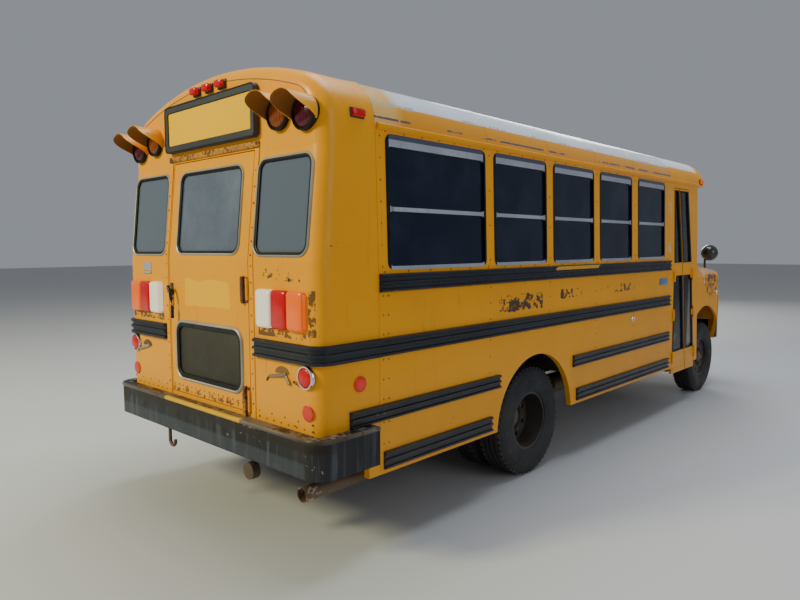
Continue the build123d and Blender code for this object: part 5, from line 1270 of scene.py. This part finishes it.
class SidePanels:
    """Drip rails, seams and rivet rows of the side walls and roof."""

    POSTS = (1.458, 2.216, 2.965, 3.706)
    LAMP = (3.678, 1.023)       # station and height of the small side lamp
    ARCH = (1.5, 2.6)           # stations that the rear wheel arch takes from the low rivet rows

    def build(self, rivets: Repeats) -> None:
        """Build the drip rails, seam strips, roof bows and side lamps, with the rivet rows."""
        rail = Piece("drip_rails", Finishes.YELLOW)
        section = ((-0.016, -0.004), (-0.018, 0.016), (-0.012, 0.021), (0.004, 0.019), (0.016, 0.006), (0.016, -0.004))
        for side in SIDES:
            stations = (0.43, 1.5, 3.0, 4.5, 5.30)[::-side]
            path = [Vector((side * side_x(DRIP_Z), at(s), DRIP_Z - 0.002)) for s in stations]
            rail.sweep(path, (side, 0, 0), section)
        rail.done()
        seam = Piece("rear_seam_strips", Finishes.YELLOW)
        for side in SIDES:
            path = [Vector((side * side_x(z), at(REAR_SEAM + 0.012), z)) for z in (0.44, SILL_Z, DRIP_Z - 0.02)]
            seam.sweep(path, (side, 0, 0), flat(0.014, 0.013, -0.002, 0.0022))
        seam.done()
        self.roof_bows(rivets)
        self.small_lamps()
        for side in SIDES:
            self.rivet_rows(side, rivets)
        log.info("side panels ready")

    def rivet_rows(self, side: int, rivets: Repeats) -> None:
        """Upright and level rivet rows of one side wall."""
        out = (side, 0, 0.02)

        def upright_row(s: float, low: float, high: float, spacing: float) -> None:
            """Row at a station."""
            rivets.line((side * side_x(low), at(s), low), (side * side_x(high), at(s), high), out, spacing)

        for s in (REAR_SEAM + 0.030, REAR_SEAM + 0.072):
            for low, high in ((0.60, 0.72), (0.85, 1.07), (1.21, 1.42), (1.58, 2.28)):
                if s < 0.49 or low < 1.5:
                    upright_row(s, low, high, 0.11)
        for s in self.POSTS:
            upright_row(s, 1.60, 2.27, 0.22)
            upright_row(s, 1.21, 1.42, 0.10)
            if not self.ARCH[0] < s < self.ARCH[1]:
                upright_row(s, 0.85, 1.07, 0.10)
        for z, rear, front, spacing in ((2.308, 0.5, 4.4, 0.15), (1.551, 0.47, 4.5, 0.19)):
            rivets.line((side * side_x(z), at(rear), z), (side * side_x(z), at(front), z), out, spacing)

    def roof_bows(self, rivets: Repeats) -> None:
        """Flat strips over the joints of the roof sheets, and the joint of the front cap."""
        bows = Piece("roof_joint_strips", Finishes.ROOF_WHITE)
        section = roof_section(6)
        for station in (REAR_SEAM + 0.012, *self.POSTS, FRONT_SEAM - 0.012):
            bows.sweep(upright((p for p, _ in section), at(station)), upright((n for _, n in section), 0.0),
                       flat(0.018, 0.016, -0.002, 0.0028))
            for one, two in zip(section[::2], section[2::2]):
                start, end = ((point.x, at(station), point.y + 0.001) for point in (one[0], two[0]))
                rivets.line(start, end, (one[1].x, 0.0, one[1].y), 0.16, Finishes.ROOF_WHITE)
        bows.done()

    def small_lamps(self) -> None:
        """Blue-grey side reflector plate and the small round lamp ahead of the wheel."""
        plate = Piece("side_reflector_plates", Finishes.BLUE_PLATE)
        rim = Piece("side_lamp_rims", Finishes.CHROME)
        lens = Piece("side_lamp_lenses", Finishes.AMBER_LENS)
        station, z = self.LAMP
        for side in SIDES:
            plate.box((side * (BODY_HALF - 0.001), at(4.480), 1.302), (side * (BODY_HALF + 0.009), at(4.285), 1.368),
                      0.005)
            place = facing_out(side, side_x(z), at(station), z)
            rim.lathe(place, ((0.030, -0.002), (0.030, 0.008), (0.024, 0.013), (0.019, 0.010), (0.019, -0.002)), 28)
            lens.lathe(place, Lamps.dome(0.019, 0.006, 0.008), 24)
        plate.done()
        rim.done()
        lens.done(50.0)


class Entrance:
    """Rubbers and rivet rows of the two slanted entrance leaves."""

    REAR, SEAM, FRONT = (4.650, 4.650), (4.790, 5.030), (5.050, 5.300)      # stations at the top and bottom
    PANES = ((0.600, 1.377), (1.516, 2.244))

    def build(self, rivets: Repeats) -> None:
        """Build the pane surrounds, the meeting rubber and the rivet rows."""
        leaves = ((Body.ENTRANCE_REAR, self.REAR, 0.026, self.SEAM, -0.030),
                  (Body.ENTRANCE_FRONT, self.SEAM, 0.030, self.FRONT, -0.026))
        for body, near, near_in, far, far_in in leaves:
            rubber = Piece(body.value + "_pane_rubbers", Finishes.GASKET, body)
            for low, high in self.PANES:
                corners = ((slanted(near, low) + near_in, low), (slanted(far, low) + far_in, low),
                           (slanted(far, high) + far_in, high), (slanted(near, high) + near_in, high))
                path = [Vector((-side_x(z), at(s), z)) for s, z in corners]
                rubber.sweep(path, (-1, 0, 0), flat(0.012, 0.011, -0.012, 0.0035), True)
            rubber.done()
            for z in (0.42, 0.555):
                rivets.line((-BODY_HALF, at(slanted(near, z) + near_in + 0.02), z),
                            (-BODY_HALF, at(slanted(far, z) + far_in - 0.02), z), (-1, 0, 0), 0.075, body=body)
        meeting = Piece("entrance_meeting_rubber", Finishes.GASKET, Body.ENTRANCE_REAR)
        path = [Vector((-side_x(z) + 0.018, at(slanted(self.SEAM, z)), z)) for z in (0.385, 1.0, 1.5, 2.250)]
        meeting.tube(path, 0.007, 10)
        meeting.done(60.0)


@dataclass(frozen=True)
class Wheel:
    """One end of an axle.

    Attributes:
        name: Name of the wheel.
        body: Body that it rides on.
        side: 1 for the driver's side, -1 for the kerb side.
        station: Station of the axle.
        tyres: Middles of its tyres, across the bus.
        nuts: Radius and place across of the nuts.
        cap: Radius and place across of the hub cap.
        node: Node of the frame that its tyres stand for.
    """

    name: str
    body: Body
    side: int
    station: float
    tyres: tuple[float, ...]
    nuts: tuple[float, float]
    cap: tuple[float, float]
    node: str


@dataclass
class Wheels:
    """Grooved tyres with tread blocks, wheel nuts and hub caps."""

    segments: int = 84
    blocks: int = 52
    block_r: float = 0.3912
    block_off: float = 0.0755       # from the middle of the tread
    nut_count: int = 8
    bead: tuple[tuple[float, float], ...] = (
        (0.080, 0.2125), (0.093, 0.216), (0.0985, 0.230), (0.102, 0.252), (0.1065, 0.280), (0.1088, 0.305),
        (0.1082, 0.322), (0.1095, 0.325), (0.1095, 0.332), (0.1080, 0.335), (0.1050, 0.354), (0.0985, 0.371),
        (0.0910, 0.3825), (0.0840, 0.3875), (0.0630, 0.3885), (0.0625, 0.3970), (0.0460, 0.3980), (0.0450, 0.3890),
        (0.0380, 0.3890), (0.0370, 0.3980), (0.0060, 0.3980), (0.0050, 0.3890))

    def build(self, nuts: Repeats, treads: Repeats) -> None:
        """Build all four corners."""
        rear, front = ((0.896, 0.636), (0.1250, 0.832), (0.068, 0.841)), ((0.866,), (0.1180, 0.921), (0.052, 0.931))
        corners = (
            Wheel("rear_right", Body.REAR_RIGHT, -1, REAR_AXLE, *rear, "rear_right_tyres"),
            Wheel("rear_left", Body.REAR_LEFT, 1, REAR_AXLE, *rear, "rear_left_tyres"),
            Wheel("front_right", Body.FRONT_RIGHT, -1, FRONT_AXLE, *front, "front_right_tyre"),
            Wheel("front_left", Body.FRONT_LEFT, 1, FRONT_AXLE, *front, "front_left_tyre"))
        for wheel in corners:
            self.corner(wheel, nuts, treads)
        log.info("wheels ready")

    def corner(self, wheel: Wheel, nuts: Repeats, treads: Repeats) -> None:
        """Build the tyres, nuts and cap of one corner."""
        outline = self.bead + tuple((-x, r) for x, r in reversed(self.bead))
        rubber = Piece(wheel.name + "_tread_tyres", Finishes.TYRE, wheel.body)
        y = at(wheel.station)
        turns = [2 * math.pi * i / self.segments for i in range(self.segments)]
        for middle in wheel.tyres:
            rubber.loft([[Vector((wheel.side * middle + x, y + r * math.cos(turn), TYRE_R + r * math.sin(turn)))
                          for x, r in outline] for turn in turns], closed=True)
            for shoulder in (-self.block_off, self.block_off):
                treads.circle(wheel.body, (wheel.side * middle + shoulder, y, TYRE_R), self.block_r,
                              self.blocks, Finishes.TREAD)
        rubber.done(38.0, (wheel.node,))
        radius, across = wheel.nuts
        nuts.circle(wheel.body, (wheel.side * across, y, TYRE_R), radius, self.nut_count, Finishes.NUT,
                    (wheel.side, 0, 0))
        radius, across = wheel.cap
        cap = Piece(wheel.name + "_hub_cap", Finishes.HUB, wheel.body)
        cap.lathe(facing_out(wheel.side, across, y, TYRE_R),
                  ((radius, -0.002), (radius, 0.006), (radius - 0.006, 0.010), (radius - 0.020, 0.012),
                   (radius - 0.024, 0.021), (0.008, 0.023), (0.0, 0.023)), 36)
        cap.done()


@dataclass(frozen=True)
class Pad:
    """A padded block.

    Attributes:
        name: Name of the pad.
        low: Lowest corner of its solid.
        high: Highest corner of its solid.
        edge: Rounding of the block's edges.
        swell: How far a point may move while it swells.
        rests: True where it rests on its lower face.
    """

    name: str
    low: Point
    high: Point
    edge: float
    swell: float
    rests: bool = False


@dataclass
class Seats:
    """Padded vinyl benches and driver's seat, blown up by a cloth simulation, with welts on their seams."""

    rows: int = 5
    pitch: float = 0.745
    voxel: float = 0.016
    inset: float = 0.012
    pressure: float = 4.0
    steps: int = 20
    welt_r: float = 0.0045

    def block(self, pad: Pad) -> bpy.types.Object:
        """Evenly meshed block that is a little smaller than the pad's solid."""
        low = Vector([value + self.inset for value in pad.low])
        high = Vector([value - self.inset for value in pad.high])
        if pad.rests:
            low.z = pad.low[2]
        part = Piece(pad.name, Finishes.VINYL)
        part.box(tuple(low), tuple(high), pad.edge)
        made = linked(pad.name, as_mesh(pad.name, part.mesh))
        remesh = made.modifiers.new("even_mesh", "REMESH")
        remesh.mode = "VOXEL"
        remesh.voxel_size = self.voxel
        even = evaluated(made)
        made.modifiers.clear()
        made.data = even
        return made

    def swollen(self, pad: Pad) -> bpy.types.Mesh:
        """Blow the pad's block up under pressure, inside the space of its solid.

        Args:
            pad: The pad.

        Returns:
            The pad's mesh, with no modifier left to apply.
        """
        made = self.block(pad)
        start = [vertex.co.copy() for vertex in made.data.vertices]
        cloth = made.modifiers.new("pressure", "CLOTH")
        cloth.settings.quality = 6
        cloth.settings.use_pressure = True
        cloth.settings.uniform_pressure_force = self.pressure
        cloth.settings.effector_weights.gravity = 0.0
        cloth.collision_settings.use_collision = False
        cloth.point_cache.frame_start, cloth.point_cache.frame_end = 1, self.steps
        for number in range(1, self.steps + 1):
            bpy.context.scene.frame_set(number)
        shape = evaluated(made)
        made.modifiers.clear()
        bpy.context.scene.frame_set(1)
        for vertex, old in zip(shape.vertices, start):
            move = vertex.co - old
            if move.length > pad.swell:
                move *= pad.swell / move.length
            vertex.co = [min(max(value, lowest), highest)
                         for value, lowest, highest in zip(old + move, pad.low, pad.high)]
        made.data = shape
        mesh = made.data
        bpy.data.objects.remove(made)
        log.info("%s is ready with %d faces", pad.name, len(mesh.polygons))
        return mesh

    @staticmethod
    def place(name: str, mesh: bpy.types.Mesh, shifts: Sequence[Vector], fill: float,
              replaces: tuple[str, ...] = ()) -> None:
        part = bmesh.new()
        for shift in shifts:
            spare = mesh.copy()
            spare.transform(Matrix.Translation(shift))
            part.from_mesh(spare)
            bpy.data.meshes.remove(spare)
        place_mesh(name, as_mesh(name, part), Body.BUS, Finishes.VINYL, 70.0, replaces)

    def welt(self, piece: Piece, mesh: bpy.types.Mesh, loop: Sequence[Vector], shifts: Sequence[Vector]) -> None:
        """Lay a round welt, a third of its radius clear, on a pad along the loop's nearest points."""
        turns = [math.pi * k / 3 for k in range(6)]
        section = [(self.welt_r * math.cos(t), self.welt_r / 3 + self.welt_r * math.sin(t)) for t in turns]
        tree = BVHTree.FromPolygons([vertex.co for vertex in mesh.vertices],
                                    [tuple(face.vertices) for face in mesh.polygons])
        found = [tree.find_nearest(point) for point in loop]
        for shift in shifts:
            piece.sweep([spot[0] + shift for spot in found], [spot[1] for spot in found], section, True)

    def build(self) -> None:
        """Build every seat."""
        shifts = [Vector((x, -self.pitch * row, 0.0)) for row in range(self.rows) for x in (0.0, -1.190)]
        once = [Vector((0.0, 0.0, 0.0))]
        pads = (
            (Pad("bench_cushions", (0.205, at(1.076), 1.090), (0.985, at(0.646), 1.200), 0.022, 0.016, True), shifts,
             0.7),
            (Pad("bench_backs", (0.205, at(0.640), 1.110), (0.985, at(0.545), 1.750), 0.030, 0.014), shifts, 0.75),
            (Pad("driver_cushion", (0.230, at(5.230), 1.030), (0.730, at(4.760), 1.140), 0.026, 0.018, True), once,
             0.6),
            (Pad("driver_back", (0.240, at(4.750), 1.100), (0.720, at(4.650), 1.760), 0.032, 0.016), once, 0.6))
        welts = Piece("seat_welts", Finishes.WELT)
        for pad, places, fill in pads:
            mesh = self.swollen(pad)
            self.place(pad.name, mesh, places, fill, ("seats",) if pad.name == "bench_cushions" else ())
            x0, x1, y0, y1 = pad.low[0] + 0.008, pad.high[0] - 0.008, pad.low[1] + 0.008, pad.high[1] - 0.008
            if pad.rests:
                loop = [Vector((x, y, pad.high[2] - 0.020)) for x, y in rounded(x0, x1, y0, y1, 0.035, 5)]
                self.welt(welts, mesh, loop, places)
            else:
                for y in (y0 + 0.006, y1 - 0.006):
                    loop = [Vector((x, y, z)) for x, z in rounded(x0, x1, pad.low[2] + 0.008, pad.high[2] - 0.008,
                                                                  0.045, 5)]
                    self.welt(welts, mesh, loop, places)
        welts.done(70.0)


class FrontEnd:
    """Headlamp lenses and bezels, turn signals, wipers, door handle, fender lamps and stop-arm border."""

    SCREEN_SLOPE = 0.5
    SCREEN_OUT = (0.894, 0.447)                 # forward and upward for each metre off the windscreen
    STOP_STATION, STOP_Z, STOP_R = 4.090, 1.316, 0.208

    @staticmethod
    def lamps() -> None:
        """Headlamp lenses in bright bezels, turn signals and the round fender lamps."""
        lens = Piece("headlamp_lenses", Finishes.HEAD_LENS)
        bezel = Piece("headlamp_bezels", Finishes.CHROME)
        amber = Piece("front_turn_lenses", Finishes.AMBER_LENS)
        rim = Piece("fender_lamp_shells", Finishes.CHROME)
        glow = Piece("fender_lamp_lenses", Finishes.AMBER_LENS)
        for side in SIDES:
            x0, x1 = sorted((side * 0.409, side * 0.596))
            lens.loft([upright(rounded(x0 + grow, x1 - grow, 0.929 + grow, 1.146 - grow, 0.020, 5), at(out))
                       for grow, out in ((0.010, 6.378), (0.010, 6.388), (0.014, 6.393), (0.030, 6.397))])
            bezel.sweep(upright(rounded(x0 + 0.005, x1 - 0.005, 0.934, 1.141, 0.022, 6), at(6.385)), (0, -1, 0),
                        ((-0.009, -0.002), (-0.008, 0.007), (0.0, 0.011), (0.008, 0.007), (0.009, -0.002)), True)
            x0, x1 = sorted((side * 0.640, side * 0.780))
            amber.loft([upright(rounded(x0 + grow, x1 - grow, 0.935 + grow, 1.000 - grow, 0.014, 4), at(out))
                        for grow, out in ((0.0, 6.395), (0.0, 6.408), (0.006, 6.414))])
            place = facing_out(side, 0.998, at(6.150), 1.135)
            rim.lathe(place, ((0.034, -0.004), (0.034, 0.010), (0.028, 0.016), (0.022, 0.014), (0.022, -0.004)), 28)
            glow.lathe(place, Lamps.dome(0.022, 0.008, 0.010), 24)
        for piece in (lens, bezel, amber, rim, glow):
            piece.done(40.0)

    def wipers(self) -> None:
        """Two wipers parked along the foot of the windscreen."""
        def screen(x: float, z: float, out: float) -> Vector:
            """Point over the windscreen."""
            ahead, up = self.SCREEN_OUT
            return Vector((x, -2.468 + self.SCREEN_SLOPE * (z - 1.5) - out * ahead, z + out * up))

        wiper = Piece("wipers", Finishes.RAIL_BLACK)
        arm = ((0.0, 1.462, 0.006), (0.0, 1.468, 0.030), (0.10, 1.520, 0.028), (0.30, 1.580, 0.020))
        blade = ((0.07, 1.538, 0.012), (0.30, 1.575, 0.014), (0.54, 1.618, 0.012))
        for x in (0.10, -0.62):
            for points, radius in ((arm, 0.006), (blade, 0.007)):
                wiper.tube([screen(x + along, z, out) for along, z, out in points], radius, 8)
        wiper.done(60.0)

    def build(self, screws: Repeats) -> None:
        """Build everything at the front."""
        self.lamps()
        self.wipers()
        handle = Piece("driver_door_handle", Finishes.RAIL_BLACK, Body.DRIVER_DOOR)
        handle.box((0.998, at(4.810), 1.330), (1.004, at(4.670), 1.392), 0.003)
        line = ((1.000, 4.685), (1.018, 4.695), (1.020, 4.760), (1.004, 4.800))
        handle.tube([Vector((x, at(s), 1.362)) for x, s in line], 0.009, 10)
        handle.done(50.0)
        border = Piece("stop_arm_border", Finishes.SIGN_BORDER, Body.STOP_ARM)
        turns = [math.radians(22.5 + 45 * k) for k in range(8)]
        for x, way in ((1.100, 1), (1.088, -1)):
            path = [Vector((x, at(self.STOP_STATION) + self.STOP_R * math.cos(turn),
                            self.STOP_Z + self.STOP_R * math.sin(turn))) for turn in turns]
            border.sweep(path, (way, 0, 0), flat(0.008, 0.008, -0.0005, 0.0008), True)
        border.done()
        screws.line((1.000, at(4.63), 0.75), (1.000, at(4.63), 1.35), (1, 0, 0), 0.12, body=Body.DRIVER_DOOR)


@dataclass
class View:
    """Camera at the photograph's viewpoint, studio floor and lights."""

    place: Point = (-3.51445, MIDDLE + 2.03497, 1.684)
    yaw: float = -43.212
    pitch: float = -4.670
    roll: float = -0.266
    focal: float = 646.25
    width: float = 800.0
    sensor: float = 36.0

    def camera(self) -> None:
        """Set the camera."""
        yaw, pitch, roll = (math.radians(a) for a in (self.yaw, self.pitch, self.roll))
        ahead = Vector((-math.sin(yaw), -math.cos(yaw), 0.0))
        right = Vector((-math.cos(yaw), math.sin(yaw), 0.0))
        up = Vector((0.0, 0.0, 1.0))
        look = ahead * math.cos(pitch) + up * math.sin(pitch)
        top = up * math.cos(pitch) - ahead * math.sin(pitch)
        level = right * math.cos(roll) + top * math.sin(roll)
        top = top * math.cos(roll) - right * math.sin(roll)
        data = bpy.data.cameras.new("photo_camera")
        data.sensor_width = self.sensor
        data.sensor_fit = "HORIZONTAL"
        data.lens = self.focal * self.sensor / self.width
        data.clip_end = 200.0
        made = linked("photo_camera", data)
        made.matrix_world = Matrix(((level.x, top.x, -look.x, self.place[0]), (level.y, top.y, -look.y, self.place[1]),
                                    (level.z, top.z, -look.z, self.place[2]), (0, 0, 0, 1)))
        bpy.context.scene.camera = made

    def floor(self) -> None:
        """Pale floor."""
        mesh = bmesh.new()
        bmesh.ops.create_grid(mesh, x_segments=1, y_segments=1, size=60.0)
        made = linked("studio_floor", as_mesh("studio_floor", mesh))
        material = bpy.data.materials.new("studio_floor")
        material.use_nodes = True
        shader = material.node_tree.nodes["Principled BSDF"]
        shader.inputs["Base Color"].default_value = (0.50, 0.50, 0.50, 1.0)
        shader.inputs["Roughness"].default_value = 0.85
        made.data.materials.append(material)

    def lights(self) -> None:
        """Soft key from the rear, a weak fill and an even sky."""
        world = bpy.data.worlds.new("studio")
        bpy.context.scene.world = world
        world.use_nodes = True
        back = world.node_tree.nodes["Background"]
        back.inputs[0].default_value = (0.84, 0.90, 1.0, 1.0)
        back.inputs[1].default_value = 0.32
        rows = (("key", (4.0, 13.0, 8.0), (0.0, 2.5, 1.2), 1500.0, 2.5, (1.0, 0.96, 0.58)),
                ("top", (0.0, 0.0, 9.5), (0.0, 0.0, 2.7), 760.0, 6.0, (0.84, 0.92, 1.0)),
                ("fill", (-12.0, 1.0, 5.0), (-1.0, 0.0, 1.2), 260.0, 7.0, (0.92, 0.96, 1.0)),
                ("front_fill", (6.0, -12.0, 6.0), (0.0, -2.0, 1.0), 500.0, 6.0, (1.0, 0.98, 0.95)))
        for name, place, aim, power, size, colour in rows:
            data = bpy.data.lights.new(name, "AREA")
            data.energy = power
            data.size = size
            data.color = colour
            made = linked(name, data)
            made.location = place
            made.rotation_mode = "QUATERNION"
            made.rotation_quaternion = (Vector(aim) - Vector(place)).to_track_quat("-Z", "Y")

    def build(self) -> None:
        """Set up the view."""
        self.camera()
        self.floor()
        self.lights()


def main() -> None:
    """Build the view and every sub-assembly."""
    logging.basicConfig(level=logging.INFO, format="%(message)s")
    View().build()
    dress_nodes()
    rivets = Repeats("rivets", Shape.DOME, (0.0062, 0.0062, 0.0028))
    RearEnd().build(rivets)
    Lamps().build()
    SidePanels().build(rivets)
    Entrance().build(rivets)
    nuts = Repeats("wheel_nuts", Shape.HEX, (0.0125, 0.0125, 0.010))
    treads = Repeats("tread_blocks", Shape.BLOCK, (0.0118, 0.0145, 0.0056))
    Wheels().build(nuts, treads)
    Seats().build()
    FrontEnd().build(rivets)
    for repeats in (rivets, nuts, treads):
        repeats.build()


if __name__ == "__main__":
    main()
